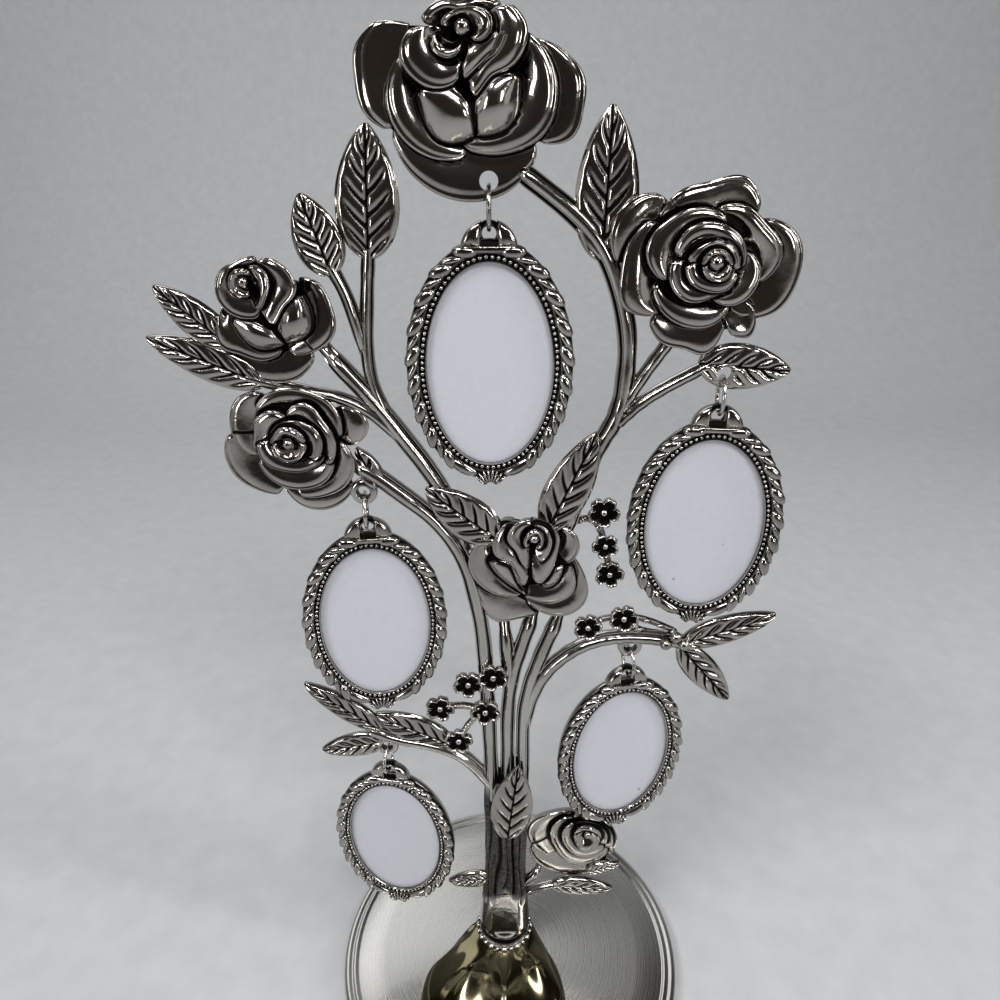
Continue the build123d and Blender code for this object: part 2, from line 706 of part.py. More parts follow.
for place, (hole_x, hole_z, twist) in hang_points.items():
    sideways, forwards = frame_axes(twist)
    with BuildPart() as frame:
        with BuildSketch(frame_level(place, -front_face)):
            Ellipse(frame_outer_x - lobe_web, frame_outer_z - lobe_web)
            for k in range(lobe_count):
                turn = radians(360 * (k + 0.5) / lobe_count)
                with Locations((lobe_path_x * cos(turn), lobe_path_z * sin(turn))):
                    Circle(lobe_radius)
            with Locations((0, shell_radius - frame_outer_z - shell_drop)):
                Circle(shell_radius)
        extrude(amount=frame_depth - frame_step)
        with BuildSketch(frame_level(place, -front_face)):
            Ellipse(lobe_path_x, lobe_path_z)
            Ellipse(opening_width / 2, opening_height / 2, mode=Mode.SUBTRACT)
        extrude(amount=frame_depth)
        with BuildSketch(frame_level(place, -lug_depth / 2)):
            with Locations((0, lug_center)):
                Circle(lug_radius)
        extrude(amount=lug_depth)
        with BuildSketch(frame_level(place, -front_face)):
            Ellipse(opening_width / 2, opening_height / 2)
        extrude(amount=frame_depth, mode=Mode.SUBTRACT)
        with BuildSketch(frame_level(place, -front_face)):
            Ellipse(pocket_x, pocket_z)
        extrude(amount=window_front + front_face, mode=Mode.SUBTRACT)
        with BuildSketch(frame_level(place, front_face)):
            Ellipse(pearl_path_x + pearl_ring_width, pearl_path_z + pearl_ring_width)
            Ellipse(pearl_path_x, pearl_path_z, mode=Mode.SUBTRACT)
        extrude(amount=-pearl_groove_depth, mode=Mode.SUBTRACT)
        with BuildSketch(frame_level(place, -lug_depth)):
            with Locations((0, lug_hole)):
                Circle(hole_radius)
        extrude(amount=2 * lug_depth, mode=Mode.SUBTRACT)
    keep(frame, f"{place}_frame")

    with BuildPart() as window:
        with BuildSketch(frame_level(place, card_front)):
            Ellipse(pocket_x - pocket_clearance, pocket_z - pocket_clearance)
        extrude(amount=window_thickness)
    keep(window, f"{place}_window")

    with BuildPart() as card:
        with BuildSketch(frame_level(place, back_front)):
            Ellipse(pocket_x - pocket_clearance, pocket_z - pocket_clearance)
        extrude(amount=card_thickness)
    keep(card, f"{place}_card")

    with BuildPart() as back_plate:
        with BuildSketch(frame_level(place, back_front - back_thickness)):
            Ellipse(pocket_x - pocket_clearance, pocket_z - pocket_clearance)
            with Locations((0, -pocket_z)):
                Circle(back_notch_radius, mode=Mode.SUBTRACT)
        extrude(amount=back_thickness)
    keep(back_plate, f"{place}_back")

    with BuildPart() as ring:
        ring_middle = Vector(hole_x, 0, hole_z - ring_center_drop)
        split = radians(ring_split_deg / 2)
        start = ring_middle + forwards * (ring_radius * cos(split)) + Vector(0, 0, ring_radius * sin(split))
        spoke = start - ring_middle
        with BuildSketch(Plane(start, x_dir=spoke, z_dir=sideways.cross(spoke))):
            Circle(wire_radius)
        revolve(axis=Axis(ring_middle, sideways), revolution_arc=360 - ring_split_deg)
    keep(ring, f"{place}_ring")

print("frame hangs below its hole by", round(frame_drop, 3), "and its lug hole is up", round(lug_hole, 3))
print("ring middle below the hole", round(ring_center_drop, 3), "disc top", disc_top, "foot top", foot_top)
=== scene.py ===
from math import acos, asin, atan2, copysign, cos, degrees, dist, exp, hypot, pi, radians, sin, sqrt, tau

import bmesh
import bpy
from mathutils import Matrix, Vector


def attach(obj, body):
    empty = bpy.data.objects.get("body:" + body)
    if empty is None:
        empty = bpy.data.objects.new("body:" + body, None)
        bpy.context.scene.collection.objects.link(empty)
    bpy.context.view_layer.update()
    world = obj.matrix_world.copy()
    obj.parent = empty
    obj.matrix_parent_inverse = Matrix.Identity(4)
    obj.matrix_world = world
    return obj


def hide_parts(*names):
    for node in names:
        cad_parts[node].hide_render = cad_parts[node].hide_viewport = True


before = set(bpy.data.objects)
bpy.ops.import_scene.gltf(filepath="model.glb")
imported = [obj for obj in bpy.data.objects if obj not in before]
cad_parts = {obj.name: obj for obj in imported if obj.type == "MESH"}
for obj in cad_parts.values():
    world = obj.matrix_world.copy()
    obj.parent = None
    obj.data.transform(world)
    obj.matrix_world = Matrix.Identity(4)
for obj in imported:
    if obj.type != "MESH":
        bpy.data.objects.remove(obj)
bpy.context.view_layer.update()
print("frame loaded with", len(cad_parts), "CAD nodes")

scene = bpy.context.scene
scene.view_settings.view_transform = "Standard"
toMetres = 0.001  # the pieces are given in millimetres, and the stage, lamps and camera in metres
hangPoints = {  # hole in the tree: x, z, and how far the frame below is turned, in degrees
    "top": (-6.0, 266.4, 0.0), "right": (50.3, 223.6, -6.2), "left": (-38.8, 192.3, 7.0),
    "lower_right": (33.8, 143.0, 11.6), "lower_left": (-38.5, 105.0, -9.1),
}


# Small helpers for curves

def held(value):  # kept from 0 to 1
    return min(1.0, max(0.0, value))


def smooth(low, high, value):
    share = held((value - low) / (high - low))
    return share * share * (3 - 2 * share)


def between(low, high, share):
    return low + (high - low) * share


def bump(value, middle, width):
    return exp(-((value - middle) / width) ** 2)


def circle(count):  # cosine and sine of evenly spread angles
    return [(cos(tau * k / count), sin(tau * k / count)) for k in range(count)]


def through(values, share):  # smooth curve through evenly spread numbers
    last = len(values) - 1
    spot = held(share) * last
    k = min(int(spot), last - 1)
    u = spot - k
    b, c = values[k], values[k + 1]
    a = values[k - 1] if k else 2 * b - c
    d = values[k + 2] if k + 2 <= last else 2 * c - b
    square, cube = 2 * a - 5 * b + 4 * c - d, 3 * b - a - 3 * c + d
    return 0.5 * (2 * b + (c - a) * u + square * u**2 + cube * u**3)


def bentPath(corners, steps=8):  # bends round the corners, and gives (x, z, along x, along z)
    knots = [Vector(c) for c in corners]
    middles = [(a + b) / 2 for a, b in zip(knots, knots[1:])]
    spans = [(knots[0], (knots[0] + middles[0]) / 2, middles[0])]
    spans += [(middles[k], knots[k + 1], middles[k + 1]) for k in range(len(middles) - 1)]
    spans += [(middles[-1], (middles[-1] + knots[-1]) / 2, knots[-1])]
    line = []
    for n, (a, b, c) in enumerate(spans):
        for k in range(steps + (n == len(spans) - 1)):
            u = k / steps
            spot = a * (1 - u) ** 2 + b * (2 * u * (1 - u)) + c * u * u
            along = ((b - a) * (1 - u) + (c - b) * u).normalized()
            line.append((spot.x, spot.y, along.x, along.y))
    return line


# Shapes are lists of points with a patina value, joined loop to loop

def newShape():
    return {"points": [], "faces": [], "patina": []}


def addTube(shape, loops, wrap=False):
    points, patina, faces = shape["points"], shape["patina"], shape["faces"]
    first, count, rows = len(points), len(loops[0]), len(loops)
    for loop in loops:
        points += [spot[:3] for spot in loop]
        patina += [held(spot[3]) for spot in loop]
    for r in range(rows if wrap else rows - 1):
        a, b = first + r * count, first + (r + 1) % rows * count
        for k in range(count):
            n = (k + 1) % count
            faces.append((a + k, a + n, b + n, b + k))
    if wrap:
        return
    for loop, start in ((loops[0], first), (loops[-1], first + (rows - 1) * count)):  # close both ends
        middle = [sum(spot[i] for spot in loop) / count for i in range(4)]
        faces += [(start + k, start + (k + 1) % count, len(points)) for k in range(count)]
        points.append(tuple(middle[:3]))
        patina.append(held(middle[3]))


def addBall(shape, x, y, z, radius, rows=9, sides=14):
    loops = []
    for r in range(1, rows):
        ring, front = radius * sin(pi * r / rows), radius * cos(pi * r / rows)
        dark = smooth(0.5, 0.8, r / rows)
        loops.append([(x + ring * c, y - front, z + ring * s, dark) for c, s in circle(sides)])
    addTube(shape, loops)


def addShape(shape, other):
    first = len(shape["points"])
    shape["points"] += other["points"]
    shape["patina"] += other["patina"]
    shape["faces"] += [tuple(first + k for k in face) for face in other["faces"]]


def shapeMesh(name, shape, sharpAngle):
    mesh = bpy.data.meshes.new(name)
    mesh.from_pydata([tuple(c * toMetres for c in spot) for spot in shape["points"]], [], shape["faces"])
    mesh.attributes.new("patina", "FLOAT", "POINT").data.foreach_set("value", shape["patina"])
    work = bmesh.new()
    work.from_mesh(mesh)
    bmesh.ops.remove_doubles(work, verts=work.verts, dist=1e-7)
    bmesh.ops.recalc_face_normals(work, faces=work.faces)
    work.to_mesh(mesh)
    work.free()
    mesh.shade_smooth()
    mesh.set_sharp_from_angle(angle=radians(sharpAngle))
    return mesh


def plainMesh(holder):  # the mesh with its modifiers applied
    return bpy.data.meshes.new_from_object(holder.evaluated_get(bpy.context.evaluated_depsgraph_get()))


def place(name, mesh, material, body, nodes=()):
    piece = bpy.data.objects.new(name, mesh)
    scene.collection.objects.link(piece)
    if not mesh.materials:
        mesh.materials.append(material)
    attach(piece, body)
    if nodes:
        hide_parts(*nodes)


def makePiece(name, shape, material, body, nodes=(), sharpAngle=50):
    place(name, shapeMesh(name, shape, sharpAngle), material, body, nodes)


def pierced(shape, x, z, radius, reach=20, sides=24):  # the same shape with a round hole from front to back
    drill = newShape()
    addTube(drill, [[(x + radius * c, y, z + radius * s, 1.0) for c, s in circle(sides)] for y in (-reach, reach)])
    body = bpy.data.objects.new("pierced", shapeMesh("pierced", shape, 180))
    tool = bpy.data.objects.new("drill", shapeMesh("drill", drill, 180))
    for item in (body, tool):
        scene.collection.objects.link(item)
    cut = body.modifiers.new("hole", "BOOLEAN")
    cut.operation, cut.object, cut.solver = "DIFFERENCE", tool, "EXACT"
    mesh = plainMesh(body)
    for item in (body, tool):
        bpy.data.objects.remove(item)
    return {"points": [tuple(c / toMetres for c in v.co) for v in mesh.vertices],
            "faces": [tuple(p.vertices) for p in mesh.polygons],
            "patina": [d.value for d in mesh.attributes["patina"].data]}


# Node helpers: an input is given a number, a colour or another node's output

def feed(tree, node, inputs):
    for key, value in inputs.items():
        socket = node.inputs[key]
        if isinstance(value, bpy.types.NodeSocket):
            tree.links.new(value, socket)
        else:
            socket.default_value = (*value, 1) if socket.type == "RGBA" else value


def addNode(tree, kind, inputs=None, **settings):
    node = tree.nodes.new(kind)
    for name, value in settings.items():
        setattr(node, name, value)
    feed(tree, node, inputs or {})
    return node


# Finishes

def newMaterial(name):
    material = bpy.data.materials.new(name)
    material.use_nodes = True
    return material, material.node_tree, material.node_tree.nodes["Principled BSDF"]


def noise(tree, scale, detail, stretch=(1, 1, 1)):
    coords = addNode(tree, "ShaderNodeTexCoord").outputs["Object"]
    mapped = addNode(tree, "ShaderNodeMapping", {"Vector": coords, "Scale": stretch}).outputs["Vector"]
    return addNode(tree, "ShaderNodeTexNoise", {"Vector": mapped, "Scale": scale, "Detail": detail}).outputs["Fac"]


def spread(tree, source, taken=(0.3, 0.7), given=(0, 1)):  # most of a noise lies from 0.3 to 0.7
    sockets = zip(("From Min", "From Max", "To Min", "To Max"), (*taken, *given))
    return addNode(tree, "ShaderNodeMapRange", {"Value": source, **dict(sockets)}).outputs["Result"]


def blend(tree, factor, first, second):  # Mix has its colours in sockets 6 and 7
    return addNode(tree, "ShaderNodeMix", {0: factor, 6: first, 7: second}, data_type="RGBA").outputs[2]


def bumpNormal(tree, height, strength, distance):
    inputs = {"Height": height, "Strength": strength, "Distance": distance}
    return addNode(tree, "ShaderNodeBump", inputs).outputs["Normal"]


def antiqueSilver(name, look):
    material, tree, shader = newMaterial(name)
    patina = addNode(tree, "ShaderNodeAttribute", attribute_name="patina").outputs["Fac"]
    tarnish = noise(tree, look["tarnishScale"], 5)  # breaks the patina's edge up
    ragged = addNode(tree, "ShaderNodeMath", {0: tarnish, 1: look["ragged"], 2: patina}, operation="MULTIPLY_ADD")
    black = spread(tree, ragged.outputs["Value"], [look["ragged"] / 2 + end for end in look["blackEdge"]])
    cloud = spread(tree, noise(tree, look["cloudScale"], 2), look["cloudEdge"])
    plate = blend(tree, cloud, look["bright"], look["dull"])
    feed(tree, shader, {
        "Metallic": 1.0,
        "Base Color": blend(tree, black, plate, look["black"]),
        "Roughness": spread(tree, black, (0, 1), (look["polish"], look["patinaRough"])),
        "Normal": bumpNormal(tree, noise(tree, look["castScale"], 3), look["cast"], look["castDeep"])})
    return material


silverLook = {
    "bright": (0.50, 0.485, 0.46), "dull": (0.36, 0.345, 0.32), "black": (0.005, 0.0045, 0.004),
    "polish": 0.13, "patinaRough": 0.5, "tarnishScale": 900.0, "ragged": 0.3, "blackEdge": (0.22, 0.8),
    "cloudScale": 60.0, "cloudEdge": (0.35, 0.7), "castScale": 170.0, "cast": 0.22, "castDeep": 0.0006,
}
treeSilver = antiqueSilver("treeSilver", silverLook)
# painted shade: a darker copy of the tree's silver for the flowers and leaves, with a coarser cast surface
flowerSilverShaded = antiqueSilver("flowerSilverShaded", {
    **silverLook, "bright": (0.44, 0.42, 0.39), "dull": (0.29, 0.27, 0.25), "cast": 0.3})
frameSilver = antiqueSilver("frameSilver", {
    **silverLook, "bright": (0.38, 0.367, 0.345), "dull": (0.27, 0.257, 0.237),
    "polish": 0.14, "castScale": 320.0, "cast": 0.12})
# painted reflection: the polished foot's dark olive tone stands in for the dark room it mirrors
footSilverPaintedReflection = antiqueSilver("footSilverPaintedReflection", {
    **silverLook, "bright": (0.18, 0.162, 0.10), "dull": (0.135, 0.12, 0.07), "polish": 0.09, "cast": 0.02})
ringWire = antiqueSilver("ringWire", {**silverLook, "polish": 0.18, "cast": 0.02})


brushLook = {
    "from": (0.50, 0.495, 0.475), "to": (0.60, 0.595, 0.575), "rings": 2600.0, "drawn": 0.82, "turn": 0.25,
    "roughFrom": (0.25, 0.75), "rough": (0.22, 0.34), "bump": 0.1,
}


def brushedDisc(look):
    material, tree, shader = newMaterial("brushedDisc")
    around = addNode(tree, "ShaderNodeTangent", direction_type="RADIAL", axis="Z").outputs["Tangent"]
    coords = addNode(tree, "ShaderNodeTexCoord").outputs["Object"]
    flat = addNode(tree, "ShaderNodeVectorMath", {0: coords, 1: (1, 1, 0)}, operation="MULTIPLY").outputs["Vector"]
    reach = addNode(tree, "ShaderNodeVectorMath", {0: flat}, operation="LENGTH").outputs["Value"]  # from the middle
    rings = addNode(tree, "ShaderNodeTexNoise", noise_dimensions="1D")
    feed(tree, rings, {"W": reach, "Scale": look["rings"], "Detail": 6.0})
    brushed = rings.outputs["Fac"]
    feed(tree, shader, {
        "Metallic": 1.0, "Anisotropic": look["drawn"], "Anisotropic Rotation": look["turn"], "Tangent": around,
        "Base Color": blend(tree, spread(tree, brushed), look["from"], look["to"]),
        "Roughness": spread(tree, brushed, look["roughFrom"], look["rough"]),
        "Normal": bumpNormal(tree, brushed, look["bump"], 0.0002)})
    return material


def plainFinish(name, look):
    material, tree, shader = newMaterial(name)
    grain = noise(tree, look["grain"], 5, look.get("stretch", (1, 1, 1)))
    feed(tree, shader, {
        "Metallic": look.get("metal", 0.0),
        "Base Color": blend(tree, spread(tree, grain), look["from"], look["to"]),
        "Roughness": spread(tree, grain, given=look["rough"]),
        "Normal": bumpNormal(tree, grain, look["bump"], 0.0003)})
    return material


cardLook = {
    "from": (0.405, 0.41, 0.46), "to": (0.44, 0.445, 0.49), "fibre": 700.0, "rough": (0.45, 0.6), "bump": 0.05,
    "speck": (0.22, 0.21, 0.24), "speckScale": 330.0, "speckEdge": (0.785, 0.82),  # a few stray marks
}


def photoCard(look):
    material, tree, shader = newMaterial("photoCard")
    fibre = noise(tree, look["fibre"], 5)
    paper = blend(tree, spread(tree, fibre), look["from"], look["to"])
    specks = spread(tree, noise(tree, look["speckScale"], 1), look["speckEdge"])
    feed(tree, shader, {
        "Base Color": blend(tree, specks, paper, look["speck"]),
        "Roughness": spread(tree, fibre, given=look["rough"]),
        "Normal": bumpNormal(tree, fibre, look["bump"], 0.0002)})
    return material


filmLook = {"tint": (0.9, 0.9, 0.93), "alpha": 0.08, "smear": 120.0, "rough": (0.04, 0.1)}


def clearFilm(look):
    material, tree, shader = newMaterial("clearFilm")
    feed(tree, shader, {
        "Base Color": look["tint"], "Alpha": look["alpha"],
        "Roughness": spread(tree, noise(tree, look["smear"], 2), given=look["rough"])})
    return material


floorLook = {
    "from": (0.42, 0.43, 0.44), "to": (0.46, 0.47, 0.48), "grain": 90.0, "rough": 0.9,
    "far": (0.05, 0.042, 0.036), "shade": (-0.9, -0.12),  # painted shade: the sheet darkens to dark well in front
}


def paleFloor(look):
    material, tree, shader = newMaterial("paleFloor")
    pale = blend(tree, spread(tree, noise(tree, look["grain"], 5)), look["from"], look["to"])
    coords = addNode(tree, "ShaderNodeTexCoord").outputs["Object"]
    deep = addNode(tree, "ShaderNodeSeparateXYZ", {"Vector": coords}).outputs["Y"]
    # painted shade that deepens towards the front
    near = spread(tree, deep, look["shade"])
    feed(tree, shader, {"Roughness": look["rough"], "Base Color": blend(tree, near, look["far"], pale)})
    return material


discFinish = brushedDisc(brushLook)
carried = {  # CAD nodes that keep their own shape
    "felt_pad": plainFinish("felt", {
        "from": (0.03, 0.032, 0.036), "to": (0.075, 0.078, 0.085),
        "grain": 1500.0, "rough": (0.9, 1.0), "bump": 0.6}),
    "base_weight": plainFinish("weightSteel", {
        "from": (0.30, 0.30, 0.31), "to": (0.42, 0.42, 0.43),
        "grain": 300.0, "rough": (0.4, 0.55), "bump": 0.1, "metal": 1.0}),
    "fixing_screw": plainFinish("fixingSteel", {
        "from": (0.45, 0.45, 0.46), "to": (0.58, 0.58, 0.58),
        "grain": 500.0, "rough": (0.28, 0.4), "bump": 0.08, "metal": 1.0}),
}
carried["fixing_washer"] = carried["fixing_screw"]
backMetal = plainFinish("backMetal", {
    "from": (0.34, 0.34, 0.345), "to": (0.46, 0.46, 0.465),
    "grain": 900.0, "stretch": (1, 1, 0.06), "rough": (0.32, 0.46), "bump": 0.12, "metal": 1.0})
cardFinish, filmFinish = photoCard(cardLook), clearFilm(filmLook)
for hung in hangPoints:
    carried.update({f"{hung}_card": cardFinish, f"{hung}_back": backMetal, f"{hung}_ring": ringWire})
for node, finish in carried.items():
    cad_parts[node].data.materials.clear()
    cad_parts[node].data.materials.append(finish)
print("finishes made")


# One node tree sets a bead along a path: pearls, rope lobes, shell ribs, flowers, wire twists

def beadRowTree():
    tree = bpy.data.node_groups.new("beadRow", "GeometryNodeTree")
    sockets = {"Path": "Geometry", "Bead": "Object", "Count": "Int", "Lean": "Float", "Facing": "Vector",
               "Broad": "Vector", "Narrow": "Vector", "Finish": "Material"}
    for name, kind in sockets.items():
        tree.interface.new_socket(name, in_out="INPUT", socket_type="NodeSocket" + kind)
    tree.interface.new_socket("Row", in_out="OUTPUT", socket_type="NodeSocketGeometry")
    given = addNode(tree, "NodeGroupInput").outputs
    curve = addNode(tree, "GeometryNodeMeshToCurve", {"Mesh": given["Path"]}).outputs["Curve"]
    points = addNode(tree, "GeometryNodeCurveToPoints", {
        "Curve": curve, "Count": given["Count"]}, mode="COUNT").outputs
    upright = addNode(tree, "FunctionNodeAlignRotationToVector", {"Vector": given["Facing"]}, axis="Z")
    along = addNode(tree, "FunctionNodeAlignRotationToVector", {
        "Rotation": upright.outputs["Rotation"], "Vector": points["Tangent"]}, axis="X", pivot_axis="Z")
    tilt = addNode(tree, "FunctionNodeAxisAngleToRotation", {"Axis": (0, 0, 1), "Angle": given["Lean"]})
    turned = addNode(tree, "FunctionNodeRotateRotation", {
        "Rotation": along.outputs["Rotation"], "Rotate By": tilt.outputs["Rotation"]}, rotation_space="LOCAL")
    index = addNode(tree, "GeometryNodeInputIndex").outputs["Index"]
    every = addNode(tree, "ShaderNodeMath", {0: index, 1: 2.0}, operation="MODULO").outputs["Value"]
    either = addNode(tree, "ShaderNodeMix", {  # Mix has its vectors in sockets 4 and 5
        0: every, 4: given["Broad"], 5: given["Narrow"]}, data_type="VECTOR").outputs[1]
    size = addNode(tree, "GeometryNodeInputNamedAttribute", {"Name": "size"}, data_type="FLOAT")
    scaled = addNode(tree, "ShaderNodeVectorMath", {
        0: either, "Scale": next(s for s in size.outputs if s.enabled)}, operation="SCALE")
    bead = addNode(tree, "GeometryNodeObjectInfo", {"Object": given["Bead"]})
    setOut = addNode(tree, "GeometryNodeInstanceOnPoints", {
        "Points": points["Points"], "Instance": bead.outputs["Geometry"],
        "Rotation": turned.outputs["Rotation"], "Scale": scaled.outputs["Vector"]})
    real = addNode(tree, "GeometryNodeRealizeInstances", {"Geometry": setOut.outputs["Instances"]})
    finish = addNode(tree, "GeometryNodeSetMaterial", {
        "Geometry": real.outputs["Geometry"], "Material": given["Finish"]})
    addNode(tree, "NodeGroupOutput", {"Row": finish.outputs["Geometry"]})
    return tree


rowTree = beadRowTree()
rowSockets = {item.name: item.identifier for item in rowTree.interface.items_tree if item.in_out == "INPUT"}


def beadRow(name, paths, bead, count, material, body, slot,
            facing=(0, -1, 0), lean=0.0, broad=(1, 1, 1), narrow=None):
    # paths holds (points in mm, closed, size) and broad and narrow are a bead's length, width and height in mm
    points, edges, sizes = [], [], []
    for line, closed, size in paths:
        first = len(points)
        points += [tuple(c * toMetres for c in spot) for spot in line]
        edges += [(first + k, first + k + 1) for k in range(len(line) - 1)]
        edges += [(len(points) - 1, first)] if closed else []
        sizes += [size] * len(line)
    mesh = bpy.data.meshes.new(name + "Path")
    mesh.from_pydata(points, edges, [])
    mesh.attributes.new("size", "FLOAT", "POINT").data.foreach_set("value", sizes)
    carrier = bpy.data.objects.new(name + "Path", mesh)
    scene.collection.objects.link(carrier)
    row = carrier.modifiers.new("beadRow", "NODES")
    row.node_group = rowTree
    settings = {"Bead": bead, "Count": count, "Lean": radians(lean), "Facing": facing, "Finish": material,
                "Broad": [c * toMetres for c in broad], "Narrow": [c * toMetres for c in narrow or broad]}
    for socket, value in settings.items():
        row[rowSockets[socket]] = value
    made = plainMesh(carrier)
    made.name = name
    bpy.data.objects.remove(carrier)
    made.shade_smooth()
    place(name, made, material, body)


def beadObject(name, loops):
    shape = newShape()
    addTube(shape, loops)
    mesh = shapeMesh(name, shape, 80)
    mesh.transform(Matrix.Scale(1 / toMetres, 4))
    bead = bpy.data.objects.new(name, mesh)
    bead.hide_render = True
    scene.collection.objects.link(bead)
    return bead


def ringLoop(count, across, deep, height, dark, shift=0.0, pinch=0.0):
    return [(shift + across * c, deep * s * (1 - pinch * (2 * across * c) ** 2), height, dark)
            for c, s in circle(count)]


pearlBead = beadObject("pearlBead", [ringLoop(8, wide, wide, height, dark) for wide, height, dark in (
    (0.34, -0.35, 1.0), (0.5, -0.02, 0.6), (0.43, 0.26, 0.0), (0.2, 0.46, 0.0))])  # one across and one high
lobeBead = beadObject("lobeBead", [ringLoop(12, *level) for level in (  # plump, one long, one wide and one high
    (0.5, 0.5, 0.0, 1.0, 0.0, 0.12), (0.5, 0.49, 0.32, 0.75, 0.0, 0.12), (0.46, 0.44, 0.62, 0.4, 0.0, 0.1),
    (0.37, 0.33, 0.86, 0.0, 0.01, 0.1), (0.19, 0.15, 0.99, 0.0, 0.02))])
flowerLook = {
    "sides": 60, "waist": 0.56, "notch": 0.07, "notchWidth": 0.06, "ruffle": 0.10,
    "hollow": (0.78, 0.86),  # black inside, bright rim outside
    "levels": [  # share of the outline, height
        (0.5, -0.16), (0.97, -0.10), (1.0, 0.08), (0.99, 0.22), (0.95, 0.28), (0.90, 0.29), (0.85, 0.25),
        (0.80, 0.16), (0.70, 0.10), (0.56, 0.08), (0.44, 0.07), (0.34, 0.06), (0.2, 0.07)],
}


def flowerLoop(look, share, height):  # one ring of a flower that is one in radius
    loop = []
    dark = 0.95 * (1 - smooth(*look["hollow"], share)) if height > 0 else 0.5
    for k, (c, s) in enumerate(circle(look["sides"])):
        petal = abs(cos(2.5 * tau * k / look["sides"]))  # 1 along the middle of a petal, 0 between two
        edge = between(look["waist"], 1, petal ** 0.6) - look["notch"] * bump(petal, 1, look["notchWidth"])
        rise = height + look["ruffle"] * (petal - 0.6) * smooth(0.3, 0.8, share)
        loop.append((share * edge * c, share * edge * s, rise, dark))
    return loop


flowerBead = beadObject("flowerBead", [flowerLoop(flowerLook, *level) for level in flowerLook["levels"]])
print("bead tree made")


# Disc, turned from one outline
discLook = {
    "sides": 240,
    "outline": [  # radius, height, patina
        (2.8, 7.2, 0), (20.0, 7.2, 0), (45.0, 7.2, 0), (54.6, 7.2, 0), (54.95, 7.02, 0.7), (55.3, 7.1, 0.4),
        (55.6, 7.42, 0), (56.1, 7.6, 0), (56.6, 7.42, 0), (57.0, 7.1, 0.6), (57.5, 7.08, 0.5), (57.9, 7.34, 0),
        (58.5, 7.5, 0), (59.1, 7.36, 0), (59.7, 6.9, 0), (60.0, 6.2, 0), (60.0, 3.4, 0), (60.0, 0.7, 0.2),
        (59.7, 0.42, 0.4), (59.1, 0.42, 0.4), (58.8, 0.7, 0.3), (58.8, 6.0, 0.3), (30.0, 6.0, 0.2), (2.8, 6.0, 0.2)],
}
disc = newShape()
addTube(disc, [[(r * s, r * c, z, dark) for r, z, dark in discLook["outline"]]
               for c, s in circle(discLook["sides"])], wrap=True)
makePiece("discPlate", disc, discFinish, "stand", ["base_disc"], 40)

# Foot that fans out in front of the trunk, with straight shoulders and a round front
trunkX = -2.0
footLook = {
    "bottom": 7.2, "height": 10.6, "back": 4.6, "heel": 6.0, "neck": 9.7, "nose": 9.6, "turn": -22, "front": 36.0,
    "right": ((10.4, 3.2), (19.4, -11.6), (20.8, -20.5)),  # shoulder, corner and flank
    "left": ((-10.0, 3.6), (-28.0, -12.3), (-29.0, -20.5)),
    "straight": 0.34,  # share of a side that is its straight shoulder
    "shares": [1.0, 0.94, 0.82, 0.62, 0.38, 0.16, 0.0],  # how far it spreads, from the disc up
    "rises": [0.0, 0.22, 0.46, 0.66, 0.82, 0.93, 1.0],
    "ridges": {  # place, height, width
        "left": ((0.14, 0.7, 0.06), (0.62, 2.0, 0.13)), "right": ((0.58, 2.0, 0.13),)},
    "keel": 1.2, "keelWidth": (0.10, 0.08),  # width at the neck and on the disc
    "ridgeFade": (0.05, 0.3), "keelFade": (0.1, 0.5), "edgeFade": (0.8, 1.0), "crestRise": 0.5,
    "levels": 36, "round": 144,
}


def arcThrough(a, b, c, count):  # points of the circle through three points, a and c included
    (ax, ay), (bx, by), (cx, cy) = a, b, c
    d = 2 * (ax * (by - cy) + bx * (cy - ay) + cx * (ay - by))
    aa, bb, cc = ax * ax + ay * ay, bx * bx + by * by, cx * cx + cy * cy
    mx = (aa * (by - cy) + bb * (cy - ay) + cc * (ay - by)) / d
    my = (aa * (cx - bx) + bb * (ax - cx) + cc * (bx - ax)) / d
    start, turn = atan2(ay - my, ax - mx), 0.0
    for p, q in ((a, b), (b, c)):
        step = atan2(q[1] - my, q[0] - mx) - atan2(p[1] - my, p[0] - mx)
        turn += (step + pi) % tau - pi
    reach = hypot(ax - mx, ay - my)
    angles = [start + turn * k / count for k in range(count + 1)]
    return [(mx + reach * cos(angle), my + reach * sin(angle)) for angle in angles]


def footSide(look, side):  # outline on the disc, from the shoulder to the front, with the matching neck outline
    shoulder, corner, flank = look[side]
    count, first = look["round"], int(look["round"] * look["straight"])
    low = [[between(p, q, k / first) for p, q in zip(shoulder, corner)] for k in range(first)]
    low += arcThrough(corner, flank, (0, -look["front"]), count - first)
    neck, high = copysign(look["neck"], shoulder[0]), []
    for k in range(count + 1):
        angle = radians(between(look["turn"], 90, k / count))
        high.append((neck * cos(angle), -look["nose"] * sin(angle)))
    return low, high


def footLevel(look, share, z):
    sides = {}
    for side in ("right", "left"):
        sides[side] = []
        for k, (low, high) in enumerate(zip(*footSide(look, side))):
            spot = k / look["round"]
            x, y = [between(up, down, share) for down, up in zip(low, high)]
            ridges = sum(tall * bump(spot, at, wide) for at, tall, wide in look["ridges"][side])
            keel = look["keel"] * bump(spot, 1.0, between(*look["keelWidth"], share))
            crest = ridges * smooth(*look["ridgeFade"], share) + keel * smooth(*look["keelFade"], share)
            crest *= 1 - smooth(*look["edgeFade"], share)
            push = 1 + crest / hypot(x, y)
            sides[side].append((trunkX + x * push, y * push, z + look["crestRise"] * crest, 0.0))
    heel = [(trunkX + x * look["heel"], look["back"], z, 0.2) for x in (-1, 0, 1)]
    return sides["right"] + sides["left"][-2::-1] + heel


